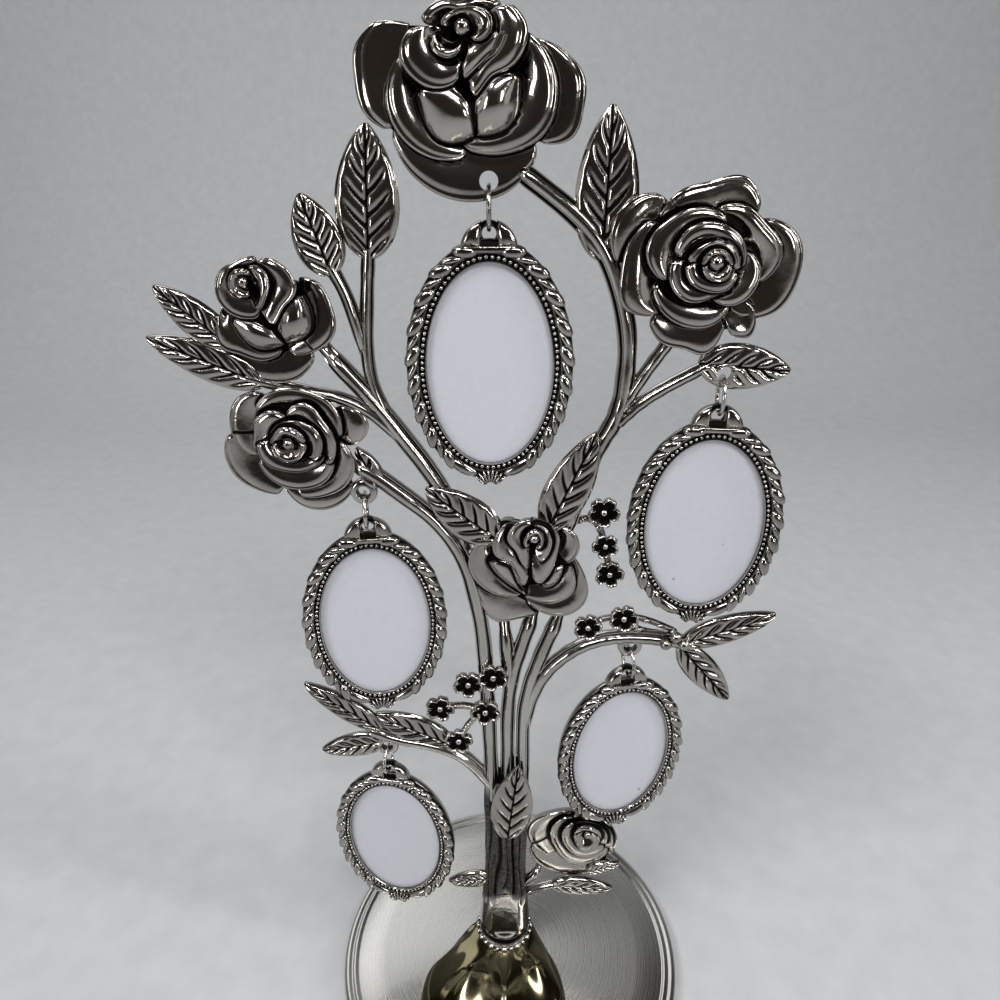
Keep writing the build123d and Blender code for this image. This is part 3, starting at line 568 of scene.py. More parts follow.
foot, footLevels = newShape(), []
for k in range(footLook["levels"] + 1):
    share, rise = [through(footLook[curve], k / footLook["levels"]) for curve in ("shares", "rises")]
    footLevels.append(footLevel(footLook, share, footLook["bottom"] + footLook["height"] * rise))
addTube(foot, footLevels)
makePiece("footFlare", foot, footSilverPaintedReflection, "stand", ["root_foot"], 60)

# Trunk: a polished stub that turns into a bundle of grooved stems
trunkLook = {
    "bottom": 17.2, "top": 95.0, "lean": 0.6, "levels": 96, "round": 144,
    "wide": [9.3, 8.1, 7.0, 7.1, 7.4, 6.9], "deep": [9.5, 6.7, 5.0, 5.0, 5.0, 0.4], "backDeep": 6.3,
    "stubTop": 40.5, "stubDrop": 8.0, "stubBack": 12.0,  # the stub's top in front, and its drop at the sides and back
    "facet": (24.0, 40.5), "facetFade": 1.5,  # flat on the front of the stub
    "facetCut": (1.05, 0.95),  # how deep the flat is at its foot and top
    "neck": (20.6, 1.6), "neckCut": 0.9,
    "grooves": [(-26, 1.9), (20, 1.9), (-55, 1.3), (-3, 0.8), (47, 1.3), (-82, 0.9), (78, 0.9),
                (-112, 0.9), (-142, 0.8), (180, 1.0), (112, 0.9), (145, 0.8)],  # degrees from the front, depth
    "grooveWidth": 7.5, "grooveStart": (-1.0, 5.0), "grooveEnd": (82.0, 92.0),
    "wander": ((8, 0.075, 0.035), (3, 0.21, 0.06)),  # how far a groove strays, by height and by angle
    "tarnish": 0.72, "topDark": (88.0, 91.0),
}


def trunkLevel(look, z):
    share = (z - look["bottom"]) / (look["top"] - look["bottom"])
    wide, deep = through(look["wide"], share), through(look["deep"], share)
    low, high = look["facet"]
    flat = between(*look["facetCut"], held((z - low) / (high - low)))
    flat *= smooth(low - look["facetFade"], low, z) * (1 - smooth(high, high + look["facetFade"], z))
    ring = bump(z, *look["neck"])
    loop = []
    for k in range(look["round"]):
        turn = tau * k / look["round"] - pi
        aside = degrees(turn)
        inFront = abs(aside) < 90
        edge = look["stubTop"] - (look["stubDrop"] * abs(sin(turn)) if inFront else look["stubBack"])
        begun = smooth(*look["grooveStart"], z - edge) * (1 - smooth(*look["grooveEnd"], z))
        wander = sum(far * sin(z * byHeight + aside * byAngle) for far, byHeight, byAngle in look["wander"])
        cut = dark = 0.0
        for spot, depth in look["grooves"]:
            off = (aside + wander * begun - spot + 180) % 360 - 180
            here = bump(off, 0, look["grooveWidth"]) * begun
            cut, dark = max(cut, here * depth), max(dark, here * min(1.0, depth))
        grow = 1 - (cut + look["neckCut"] * ring) / wide
        y = -(deep if inFront else min(deep, look["backDeep"])) * grow * cos(turn)
        if flat > 0 and begun < 1:
            y = max(y, -(deep - flat))
        dark = max(dark, ring, look["tarnish"] * begun, smooth(*look["topDark"], z))
        loop.append((trunkX + look["lean"] * share + wide * grow * sin(turn), y, z, dark))
    return loop


trunk = newShape()
addTube(trunk, [trunkLevel(trunkLook, between(trunkLook["bottom"], trunkLook["top"], k / trunkLook["levels"]))
                for k in range(trunkLook["levels"] + 1)])
makePiece("trunkBark", trunk, treeSilver, "stand", ["trunk"], 70)
collarLook = {"radius": 9.3, "up": 18.2, "sides": 60, "beads": 24,
              "broad": (2.5, 2.0, 2.1), "narrow": (1.6, 1.6, 1.5)}
collarPath = [(trunkX + collarLook["radius"] * s, -collarLook["radius"] * c, collarLook["up"])
              for c, s in circle(collarLook["sides"])]
beadRow("trunkCollar", [(collarPath, True, 1.0)], pearlBead, collarLook["beads"], treeSilver, "stand", "tree_silver",
        facing=(0, 0, 1), broad=collarLook["broad"], narrow=collarLook["narrow"])
print("disc, foot and trunk made")


# Leaves with puffed lobes on both sides of a dark midrib
leafLook = {
    "lobes": 6, "slant": 0.27, "slantBend": 1.25, "steps": 72, "across": 14,
    "back": 0.9, "edge": 0.25, "crown": 0.55, "puff": 0.95, "rib": 0.34,
    "outline": (0.55, 0.8, 0.401),  # powers at the base and the tip, and the largest value that they give
    "veinFade": (0.45, 0.92), "edgeFall": (0.80, 1.0), "edgeDark": (0.96, 1.0),
}


def addLeaf(shape, base, tip, width, lifts=(0, 0), look=leafLook):
    base, tip = Vector(base), Vector(tip)
    along = (tip - base).normalized()
    length, side = (tip - base).length, Vector((along.y, -along.x))
    basePower, tipPower, largest = look["outline"]
    loops = []
    for r in range(1, look["steps"]):
        s = r / look["steps"]
        lift = between(*lifts, s)
        outline = s**basePower * (1 - s) ** tipPower / largest  # widest nearer the base, pointed at the tip
        half = width / 2 * outline
        front, behind = [], []
        for k in range(-look["across"], look["across"] + 1):
            t = k / look["across"]
            shift = 0.5 if t < 0 else 0.0  # lobes stand staggered on the two sides
            slant = look["slant"] * abs(t) ** look["slantBend"]
            wave = abs(sin(pi * (look["lobes"] * (s - slant) + shift)))
            fade = 1 - smooth(*look["veinFade"], abs(t))  # veins end before the edge
            rib = bump(t * half, 0, look["rib"])
            body = (1 - t * t) ** 0.5 * min(1.0, 3 * outline)
            lobe = (1 - (1 - wave ** 0.5) * fade) * (1 - 0.7 * smooth(*look["edgeFall"], abs(t))) * (1 - 0.9 * rib)
            high = look["edge"] + look["crown"] * body + look["puff"] * lobe * min(1.0, 2 * outline)
            vein = fade ** 0.5 * (1 - smooth(0.1 + 0.15 * fade, 0.2 + 0.5 * fade, wave))
            dark = max(rib, vein, 0.4 * smooth(*look["edgeDark"], abs(t)))
            spot = base + along * (s * length) + side * (t * half)
            front.append((spot.x, -lift - high, spot.y, dark))
            behind.append((spot.x, -lift + look["back"] * (1 - 0.6 * t * t), spot.y, 0.25 + 0.3 * rib))
        loops.append(front + behind[-2:0:-1])
    addTube(shape, loops)


# Stems and boughs: a bar with a polished round middle, dark grooves and thin ledges at its edges
barLook = {
    "sink": 13.0,  # how long a stem takes to sink under a flower
    "thinner": 0.25,  # how much thinner it is there
    "uneven": (0.035, 0.83),  # hand-made unevenness, and its step along the bar
    "half": [  # across and forwards in radii, patina
        (0.0, 1.0, 0), (0.30, 0.93, 0), (0.50, 0.74, 0), (0.62, 0.46, 0.5), (0.68, 0.28, 1), (0.75, 0.30, 1),
        (0.80, 0.42, 0.2), (0.90, 0.42, 0), (1.0, 0.22, 0), (1.02, -0.25, 0.1), (0.82, -0.66, 0.3),
        (0.42, -0.92, 0.2), (0.0, -1.0, 0.1)],
}
barSection = barLook["half"] + [(-a, f, dark) for a, f, dark in barLook["half"][-2:0:-1]]


def addBar(shape, corners, radius, lift=0.0, section=barSection, ends=(0, 0)):
    # ends says how far the bar's first and last part sink back under a flower
    line = bentPath(corners)
    sink = min(0.5, barLook["sink"] / sum(dist(a, b) for a, b in zip(corners, corners[1:])))
    uneven, step = barLook["uneven"]
    loops = []
    for k, (x, z, alongX, alongZ) in enumerate(line):
        share = k / (len(line) - 1)
        under = ends[0] * (1 - smooth(0.0, sink, share)) + ends[1] * smooth(1 - sink, 1.0, share)
        grow = radius * (1 + uneven * sin(k * step + x)) * (1 - barLook["thinner"] * min(1.0, under))
        loops.append([(x + alongZ * a * grow, under - lift - f * grow, z - alongX * a * grow, dark)
                      for a, f, dark in section])
    addTube(shape, loops)


eyeLook = {"hole": 1.65, "outer": 3.6, "thick": 2.6, "sides": 30}
ringHole = 2.05  # hole through a leaf or petal, wide enough for its ring to turn


def addEye(shape, x, z, look=eyeLook):  # flat eye for a jump ring
    hole, outer, half = look["hole"], look["outer"], look["thick"] / 2
    section = [(hole, half * 0.8, 0.6), (hole, -half * 0.7, 0.5), (hole + 0.3, -half, 0.0), (outer - 0.7, -half, 0.0),
               (outer - 0.15, -half * 0.6, 0.0), (outer, 0.0, 0.1), (outer - 0.1, half * 0.7, 0.2),
               (outer - 0.6, half, 0.2), (hole + 0.3, half, 0.3)]
    addTube(shape, [[(x + r * c, y, z + r * s, dark) for r, y, dark in section]
                    for c, s in circle(look["sides"])], wrap=True)


bars = {  # piece: CAD node, radius, the hang point that it holds, and runs of (x, z) corners with their ends' sink
    "rightStemBar": ("right_stem", 2.2, None, [
        ([(3.4, 82), (3.6, 96), (3.4, 121), (7.2, 137), (14.4, 157)], (0, 2.0))]),
    "centerStemBar": ("center_stem", 2.2, None, [
        ([(-1.2, 82), (-1.2, 96), (-1.4, 121), (0.6, 136), (7.2, 158.5)], (0, 2.6)),
        ([(-0.6, 129), (-1.6, 142), (-2.7, 153.6)], (0, 3.0))]),
    "leftStemBar": ("left_stem", 2.3, "left", [
        ([(-5.8, 82), (-6.4, 96), (-7.2, 122), (-8.2, 145), (-10, 158.5), (-13, 172), (-20, 183.8),
          (-29.5, 191.8), (-35.6, 197.0), (-41.5, 200.5)], (0, 0.8))]),
    "upperLeftBoughBar": ("upper_left_bough", 2.3, None, [
        ([(-12.8, 174), (-17, 190), (-22.6, 199.8), (-27.6, 207), (-32.6, 214.3), (-38.8, 222),
          (-47, 231.5)], (1.2, 1.9))]),
    "rightBoughBar": ("right_bough", 2.3, None, [
        ([(13.5, 177), (17, 193), (20.8, 204.5), (24.8, 211.2), (26.6, 219), (26.8, 231.8), (24.4, 241.4),
          (20.4, 251.5), (14.2, 258.8), (3.5, 266.5), (-1.0, 269.6)], (1.2, 2.0))]),
    "rightTwigBars": ("right_twigs", 1.6, None, [
        ([(26, 214), (31, 223.5), (37, 232.5)], (0, 0)),
        ([(25.6, 211), (32.5, 218), (47.5, 226.4)], (0, 0))]),
    "leftTwigBars": ("left_twigs", 1.6, None, [
        ([(-31.5, 213), (-35.4, 223.5), (-34.6, 238), (-33, 252.5)], (0, 0)),
        ([(-35.3, 225.5), (-38, 240.5), (-42, 249)], (0.9, 0)),
        ([(-27, 205.5), (-38.5, 217), (-53.5, 219.6), (-64.5, 222.8)], (0, 0))]),
    "lowLeftBoughBar": ("low_left_bough", 2.2, "lower_left", [
        ([(-3, 83), (-10.6, 95), (-16, 101.2), (-26.1, 105.6), (-36, 107.6), (-43, 111.2)], (0, 0))]),
    "lowRightArchBar": ("low_right_arch", 2.2, "lower_right", [
        ([(3.6, 107), (4.4, 119.5), (8.8, 132.5), (16.5, 141), (25, 145.4), (34, 146.4), (44, 145.2),
          (52, 143.4)], (1.4, 0))]),
    "footStemBars": ("foot_stems", 1.6, None, [
        ([(3, 39), (8.0, 45.0), (11.6, 49.2)], (0, 4.6)),
        ([(3, 34.5), (11.5, 39.5), (22, 41.5)], (0, 0))]),
}
for name, (node, radius, hung, runs) in bars.items():
    bar = newShape()
    for corners, ends in runs:
        addBar(bar, corners, radius, ends=ends)
    if hung:
        addEye(bar, *hangPoints[hung][:2])
    if node == "left_stem":  # a leaf at the end of this one
        addLeaf(bar, (-34.6, 193.6), (-39.8, 204.6), 6.4, look={**leafLook, "lobes": 2})
    makePiece(name, bar, treeSilver, "stand", [node], 45)
print("stems and boughs made")


leaves = {  # piece: CAD node, lift at base and tip, and base, tip and width of each leaf
    "upperLeftLeafPair": ("upper_left_leaves", (0, 0), [
        ((-33.1, 250), (-31.7, 278), 14.2), ((-41.5, 246.5), (-47.2, 264.2), 11.2)]),
    "farLeftLeafPair": ("far_left_leaves", (0, 0), [
        ((-66.5, 230), (-83, 244.5), 9.0), ((-60, 221.2), (-87.2, 232.6), 9.8)]),
    "topRightLeaf": ("top_right_leaf", (0, 0), [((19.4, 249.5), (19.8, 281.5), 14.0)]),
    "rightRoseLeaf": ("right_rose_leaf", (0, 0), [((43.6, 226.4), (66.4, 224.4), 11.4)]),
    "centerLeafPair": ("center_leaves", (1.9, 1.9), [
        ((-3.5, 178.8), (-22.8, 194.2), 12.6), ((8.6, 181.8), (20.5, 209.5), 12.0)]),
    "trunkLeaf": ("trunk_leaf", (5.7, 3.8), [((-1.2, 70.5), (2, 99.5), 13.2)]),
    "archLeafPair": ("arch_leaves", (0, 0), [
        ((48.5, 144.2), (74.5, 154), 9.6), ((48, 143.4), (65, 123), 9.4)]),
    "lowLeftLeaves": ("low_left_leaves", (0, 0), [
        ((-39.5, 111.4), (-61.8, 129.4), 8.4), ((-18.6, 105.8), (-41.6, 117.6), 11.2),
        ((-37.8, 107.4), (-59.2, 103.0), 9.2)]),
    "footLeaves": ("foot_leaves", (0, 0), [
        ((-5, 44.4), (-21.6, 42.2), 7.6), ((14, 40.7), (36, 38.8), 8.2), ((26, 47.4), (37.4, 51.8), 5.6)]),
}
leafHoles = {"right_rose_leaf": "right", "low_left_leaves": "lower_left"}  # a ring goes through these
for name, (node, lifts, blades) in leaves.items():
    leaf = newShape()
    for base, tip, width in blades:
        blade = newShape()
        addLeaf(blade, base, tip, width, lifts)
        if node in leafHoles:
            blade = pierced(blade, *hangPoints[leafHoles[node]][:2], ringHole)
        addShape(leaf, blade)
    if node == "right_rose_leaf":
        addEye(leaf, *hangPoints["right"][:2], {**eyeLook, "hole": ringHole, "outer": 3.3, "thick": 2.9})
    makePiece(name, leaf, flowerSilverShaded, "stand", [node], 60)
print("leaves made")


# Roses: each petal goes round the heart from one angle to another, and its lip and root are distances from the heart
# line is how far the painted shade beside a petal lying on top reaches
roses = {
    "topRosePetals": {
        "node": "top_rose", "heart": (-10.8, 293.8), "lift": 0.0, "full": 1.0, "line": 1.15, "bead": 1.5,
        "petals": [  # tier, belly, from, to, lip distances, root distances
            (0, 0, 172, 229, [17, 22, 24, 25.5, 24], [12, 15, 23]),
            (0, 0, -53, -4, [25.5, 29.5, 28, 25, 16.5], [24, 21, 14]),
            (0, 0, -132, -54, [24, 29, 31.5, 31, 27], [23, 24, 26]),
            (1, 0, -164, -89, [12.5, 19.5, 23, 24, 23], [9, 16.5, 22]),
            (1, 0.6, -93, 4, [21, 23.7, 24.4, 19.5, 11], [20, 17, 8]),
            (2, 1.4, -130, -84, [13, 10.5, 9.5, 10.5, 13], [15.5, 20, 20.5]),
            (2, 1.4, -82, -36, [13, 10.5, 9.5, 10, 12.5], [20.5, 19, 14.5]),
            (1, 0.3, 25, 172, [9.5, 6.3, 5.2, 7, 9], [7, 3.5, 7.5]),
            (3, 0.2, 177, 267, [9.5, 13, 13, 11.5, 8.5], [5, 5.5, 4.5]),
            (3, 0.2, -84, 28, [12.5, 10, 12, 12.5, 9.5], [6.5, 5.5, 5.5]),
            (3, 0.5, -93, -4, [9, 7.5, 7, 7.5, 8], [3.5, 3, 4.5]),
            (4, 0, -167, -92, [6, 7, 6.5, 5.5, 3.5], [5, 4, 2]),
            (4, 0, -49, 180, [3.5, 6, 3.5, 3, 4.5], [2, 2, 2.5]),
        ]},
    "rightRosePetals": {
        "node": "right_rose", "heart": (42.2, 251.1), "lift": 2.3, "full": 1.0, "line": 1.3, "bead": 1.6,
        "petals": [
            (0, 0, 41, 148, [14.5, 17.5, 15.5, 15.5, 14], [13.5, 10.5, 12.5]),
            (0, 0, 130, 185, [17, 21, 22.5, 22, 20], [16, 17.5, 19]),
            (0, 0, -60, 37, [15, 21, 21.5, 20, 14], [14, 16.5, 13]),
            (0, 0, -130, -67, [18.5, 21, 21, 22, 16], [17.5, 16.5, 15.5]),
            (0, 0, -68, -43, [18.5, 20.5, 21.5, 20, 17], [16, 16.5, 16]),
            (1, 0, 148, 231, [15.5, 18, 19.5, 21, 16.5], [14, 13.5, 15.5]),
            (1, 0, -27, 91, [13, 16, 13.5, 12.5, 10], [12, 9.5, 9]),
            (1, 0, -153, -58, [13.5, 15, 15.5, 15, 12], [12.5, 11, 11.5]),
            (2, 0, 71, 207, [8.5, 11, 13, 14.5, 11], [7.5, 8.5, 10]),
            (2, 0, -82, 14, [9, 11.5, 12, 11, 8], [8.5, 8.5, 7.5]),
            (2, 0, 178, 314, [8.5, 10, 10, 8, 8], [5.5, 7, 7]),
            (3, 0, -20, 174, [6.5, 7, 7.5, 9, 9], [6, 4.5, 7]),
            (3, 0, -26, 188, [6, 5, 4.5, 4.5, 6], [4.5, 1.5, 2]),
            (3, 0, 185, 337, [6, 6.5, 6.5, 7, 6], [2.5, 3.5, 4.5]),
            (4, 0, -15, 199, [4, 3, 3, 3, 3], [2, 1.5, 1.5]),
            (4, 0, -168, -9, [3, 3.5, 4, 4.5, 3.5], [1.5, 2, 2]),
        ]},
    "leftBudRosePetals": {
        "node": "left_bud_rose", "heart": (-60.1, 246.3), "lift": 0.0, "full": 0.75, "line": 1.25, "bead": 1.2,
        "petals": [
            (0, 0, -69, -1, [19.5, 21.5, 22, 18.5, 14.5], [18.5, 16.5, 12.5]),
            (0, 0, -122, -54, [19, 22.5, 24.5, 25, 22.5], [18.5, 20, 21]),
            (1, 0, -137, -71, [11, 17.5, 18, 19, 18], [10.5, 13.5, 16.5]),
            (2, 1.2, -116, -66, [9, 8, 8, 9.5, 12.5], [11.5, 15.5, 17]),
            (2, 1.2, -64, -18, [12.5, 10.5, 10, 10.5, 10.5], [17, 17, 13]),
            (3, 0, -67, 52, [11.5, 10, 11.5, 9.5, 6.5], [6, 5.5, 4]),
            (3, 0, 49, 294, [6.5, 4.5, 6, 8.2, 8.5], [3.5, 3, 4]),
            (4, 0, -69, 68, [7, 6, 6, 5.5, 3.5], [5.5, 3, 2.5]),
            (4, 0, 37, 294, [3, 3, 3, 3.5, 3.5], [1.5, 1.5, 2]),
        ]},
    "leftOpenRosePetals": {
        "node": "left_open_rose", "heart": (-54.8, 208.2), "lift": 0.0, "full": 0.8, "line": 1.5, "bead": 1.4,
        "petals": [
            (0, 0, 122, 209, [13.5, 16, 16, 15, 12.5], [12.5, 10.5, 12]),
            (0, 0, 178, 253, [16.5, 19, 20, 19, 17.5], [15.5, 12.5, 15.5]),
            (0, 0, -108, -45, [15, 19.5, 21.5, 21.5, 20], [14.5, 16, 18.5]),
            (0, 0, -14, 32, [14, 17.5, 19, 18, 14.5], [12.5, 13, 13.5]),
            (1, 0, -4, 143, [12, 13.5, 13, 12.5, 11], [10.5, 9, 10]),
            (1, 0, -92, -4, [16.5, 17.5, 18, 16.5, 12], [15, 13, 11]),
            (2, 0, 89, 198, [5.5, 8.5, 9.5, 9, 10], [4.5, 5.5, 7.5]),
            (2, 0, -150, -22, [10.5, 12.5, 13.5, 13.5, 11], [9.5, 10, 10]),
            (2, 0, -39, 98, [11.5, 11, 10, 10.5, 6.5], [9.5, 7.5, 5]),
            (3, 0, 177, 338, [8, 8.5, 8, 8.5, 9.5], [5, 5.5, 7.5]),
            (3, 0, -43, 180, [8, 8, 6, 5, 5], [6, 3.5, 3.5]),
            (4, 0, 0, 187, [4.5, 4.5, 4.5, 4, 4.5], [2, 2, 2.5]),
            (4, 0, 177, 366, [4, 4.5, 5, 4.5, 4.5], [2.5, 2.5, 2]),
        ]},
    "centerRosePetals": {
        "node": "center_rose", "heart": (5.2, 181.9), "lift": 0.0, "full": 0.8, "line": 2.0, "bead": 1.2,
        "petals": [
            (0, 0, -132, -85, [24, 28, 31.5, 29.5, 27.5], [23, 24, 26.5]),
            (0, 0, -95, -39, [23, 28, 29.5, 26, 15], [22.5, 25, 14.5]),
            (1, 0, 158, 262, [8.5, 13, 20, 22.5, 21.5], [7.5, 13.5, 20.5]),
            (1, 0, -97, -44, [21, 23, 23.5, 21.5, 14.5], [20, 19, 13.5]),
            (1, 0, -81, 13, [12, 13, 14, 12, 7], [11.5, 10, 6.5]),
            (2, 0.9, -143, -96, [12, 10.5, 11, 13, 18], [15.5, 16.5, 19.5]),
            (2, 0.9, -81, -50, [11, 11, 11, 11.5, 12], [19, 16.5, 13]),
            (2, 0.3, 155, 266, [7.5, 10, 12, 11, 18], [5, 7, 10]),
            (3, 0.2, 97, 269, [5, 6, 7, 6.5, 11], [2.5, 3, 3.5]),
            (3, 0.2, -92, 101, [16.5, 8.5, 6.5, 5.5, 5], [5, 3.5, 3]),
            (4, 0, -84, 99, [8, 5.5, 4.5, 4.5, 4], [3, 2.5, 2.5]),
            (4, 0, -79, 238, [3.5, 2.5, 3, 2.5, 3.5], [2.5, 1, 2]),
        ]},
    "footRosePetals": {
        "node": "foot_rose", "heart": (25.2, 68.0), "lift": -2.5, "full": 0.6, "line": 2.4, "bead": 1.2,
        "petals": [
            (0, 0, 129, 234, [7, 12, 19, 20.5, 20], [6, 11.5, 15.5]),
            (0, 0, -151, -62, [22, 25, 25.5, 24.5, 20], [20, 19, 16]),
            (0, 0, -64, 120, [19.5, 10.5, 5.5, 4, 6], [14, 4, 4.5]),
            (1, 0, 137, 308, [7, 11.5, 14, 18.5, 14.5], [5, 9.5, 12.5]),
            (1, 0, -55, 141, [14.5, 7.5, 4.5, 4, 7.5], [11, 2.5, 4]),
            (2, 0, 138, 312, [5.5, 8, 10, 13, 10.5], [3.5, 7, 9]),
            (2, 0, -53, 150, [10.5, 6, 4, 4, 5.5], [7.5, 1.5, 2]),
            (3, 0, -52, 203, [6.5, 4, 3.5, 4, 4.5], [4, 1.5, 2]),
            (3, 0, -171, -23, [4.5, 5.5, 8, 7, 4.5], [2.5, 5.5, 3]),
        ]},
}
petalLook = {
    "lifts": [1.5, 3.6, 5.8, 7.8, 9.4],  # how far forwards the lips of each tier stand
    "under": (3.0, 3.0, 3.0, 2.2, 1.0),  # how far each tier's roots go on under the petals inside
    # the wall under each tier's lip is painted with shade
    "lipWallShade": (0.4, 0.4, 1.0, 1.0, 1.0), "backPatina": 0.1,
    "dip": 2.4, "endDip": 0.8, "endFall": 1.1, "bend": 0.07, "steps": 56, "back": 1.3, "plate": 0.8,
    "tuck": 0.42, "crest": 0.70, "fall": 0.7, "ripple": 0.25, "wobble": 0.22,
    "rim": 0.2, "rimAt": (0.95, 0.035), "groove": 0.12, "grooveAt": (0.86, 0.035), "grooveDark": (0.865, 0.03),
    "cheek": 0.8, "bulge": 1.3,  # a petal with more belly than this is a round cheek
    "across": [0, 0.04, 0.09, 0.15, 0.22, 0.30, 0.38, 0.46, 0.54, 0.62, 0.69, 0.75, 0.80, 0.84, 0.875, 0.905,
               0.93, 0.955, 0.98, 1],
}


def lipLift(rose, tier, look=petalLook):
    return between(look["lifts"][0], look["lifts"][tier], rose["full"]) + rose["lift"]


def petalRise(look, v, cheek):  # height share from root to lip, over the crest
    if cheek:
        return sin(pi / 2 * v) ** 0.8
    return smooth(-0.08, look["crest"], v) if v < look["crest"] else 1.0


def petalReach(petal, u, look):  # root and lip distances, and how much of the rounded end is left
    tier, belly, start, end, lips, roots = petal
    bend = 1 - min(1.0, u / look["bend"], (1 - u) / look["bend"])
    kept = sqrt(max(0.0, 1 - bend * bend))
    outer, root = through(lips, u), through(roots, u)
    root += copysign(look["under"][tier], root - outer) * (0.1 if belly > look["cheek"] else 1.0)
    inner = between(outer, max(0.4, root), 0.72 + 0.28 * sin(pi * u) ** 0.5)
    return inner, between(inner, outer, 0.3 + 0.7 * kept), kept


def shadeBesideUpperPetal(rose, number, angle, reach, look):  # painted shade: 1 right beside a petal that lies on top, 0 away from it
    tier, dark, width = rose["petals"][number][0], 0.0, rose["line"]
    for other, petal in enumerate(rose["petals"]):
        level, start, end = petal[0], petal[2], petal[3]
        if level < tier or (level == tier and other <= number):
            continue
        for turn in (angle - 360, angle, angle + 360):
            near = min(max(turn, start), end)
            aside = radians(abs(turn - near)) * reach
            if aside < width:
                inner, outer, kept = petalReach(petal, (near - start) / (end - start), look)
                gap = hypot(max(0.0, reach - max(inner, outer)), aside)
                if gap > 0 or level > tier:
                    dark = max(dark, 1 - smooth(0.25 * width, width, gap))
    return dark


def addPetal(shape, rose, number, look=petalLook):
    petal = rose["petals"][number]
    tier, belly, start, end = petal[:4]
    heartX, heartZ = rose["heart"]
    full, cheek, lip = rose["full"], belly > look["cheek"], lipLift(rose, tier)
    rootLift = max(rose["lift"] + 0.3, lip - look["dip"] * full)
    back = rose["lift"] - look["back"] if tier < 2 else rose["lift"] + 0.2
    loops = []
    for k in range(look["steps"] + 1):
        u = 0.5 - 0.5 * cos(pi * k / look["steps"])
        turn = radians(between(start, end, u))
        middle = sin(pi * u)
        inner, outer, kept = petalReach(petal, u, look)
        width = max(0.6, abs(outer - inner))
        drop = look["endDip"] * (1 - middle ** 0.6) + look["endFall"] * (1 - kept)
        high = lip + full * (look["wobble"] * sin(5.3 * u + start) - drop)
        low = min(rootLift, high - 0.6)
        fall = 0 if cheek else min(look["fall"] * full, 0.3 * width)
        profile = [(0.0, back, look["backPatina"])]
        for v in look["across"]:
            over = max(0.0, v - look["crest"]) / (1 - look["crest"])
            rise = between(low, high, petalRise(look, v, cheek)) - fall * over**2
            rise += belly * look["bulge"] * sin(pi * v) ** 0.8 * middle ** 0.35
            rise += look["ripple"] * full * sin(6.6 * u + start) * sin(pi * v)
            rise += look["rim"] * bump(v, *look["rimAt"]) - look["groove"] * bump(v, *look["grooveAt"])
            # painted shade at the root, where the petal runs in under the petals inside, and beside petals lying on
            # top; the dark line in the groove is patina
            dark = max(1 - smooth(0.0, 0.10, v), 0.3 * bump(v, *look["grooveDark"]),
                       shadeBesideUpperPetal(rose, number, degrees(turn), between(inner, outer, v), look))
            profile.append((v, rise, dark))
        edge = profile[-1][1]
        tuck = max(0.1, 1 - look["tuck"] * (edge - back) / width)  # the wall runs back in under the lip
        # painted shade on the wall under the lip, darkest on the inner tiers
        profile += [(1.0, edge - 0.22, 0.3), (max(0.4, 1 - 0.25 / width), edge - 0.6, look["lipWallShade"][tier]),
                    (tuck, back, look["backPatina"]), (tuck / 2, back, look["backPatina"])]
        loops.append([(heartX + between(inner, outer, w) * cos(turn), -h,
                       heartZ + between(inner, outer, w) * sin(turn), dark) for w, h, dark in profile])
    addTube(shape, loops)


def addShadePlate(shape, rose, look=petalLook):  # plate behind the petals, painted black in front as the shade seen between them, just inside their lips
    reach = []
    for angle in range(0, 360, 4):
        far = 3.0
        for tier, belly, start, end, lips, roots in rose["petals"]:
            raised = 0.5 * (look["lifts"][tier] - look["lifts"][0]) * rose["full"]
            for turn in (angle - 360, angle, angle + 360):
                if start <= turn <= end:
                    far = max(far, through(lips, (turn - start) / (end - start)) - raised)
        reach.append(far - look["plate"])
    heartX, heartZ = rose["heart"]
    loops = []
    for y, dark in ((look["back"] - 0.1, look["backPatina"]), (look["back"] - 0.3, 1.0), (-0.35, 1.0)):
        loop = []
        for k, (c, s) in enumerate(circle(len(reach))):
            far = min(reach[k - 1], reach[k], reach[(k + 1) % len(reach)])
            loop.append((heartX + far * c, y - rose["lift"], heartZ + far * s, dark))
        loops.append(loop)
    addTube(shape, loops)


for name, rose in roses.items():
    bloom, plate = newShape(), newShape()
    addShadePlate(plate, rose)
    parts = [plate]
    for number in range(len(rose["petals"])):
        parts.append(newShape())
        addPetal(parts[-1], rose, number)
    ringed = (0, 3) if rose["node"] == "top_rose" else ()  # its plate and bottom petal hold the top frame's ring
    for number, part in enumerate(parts):
        addShape(bloom, pierced(part, *hangPoints["top"][:2], ringHole) if number in ringed else part)
    heartX, heartZ = rose["heart"]
    addBall(bloom, heartX, 1.0 - lipLift(rose, 4), heartZ, rose["bead"])
    makePiece(name, bloom, flowerSilverShaded, "stand", [rose["node"]], 55)
print("roses made")


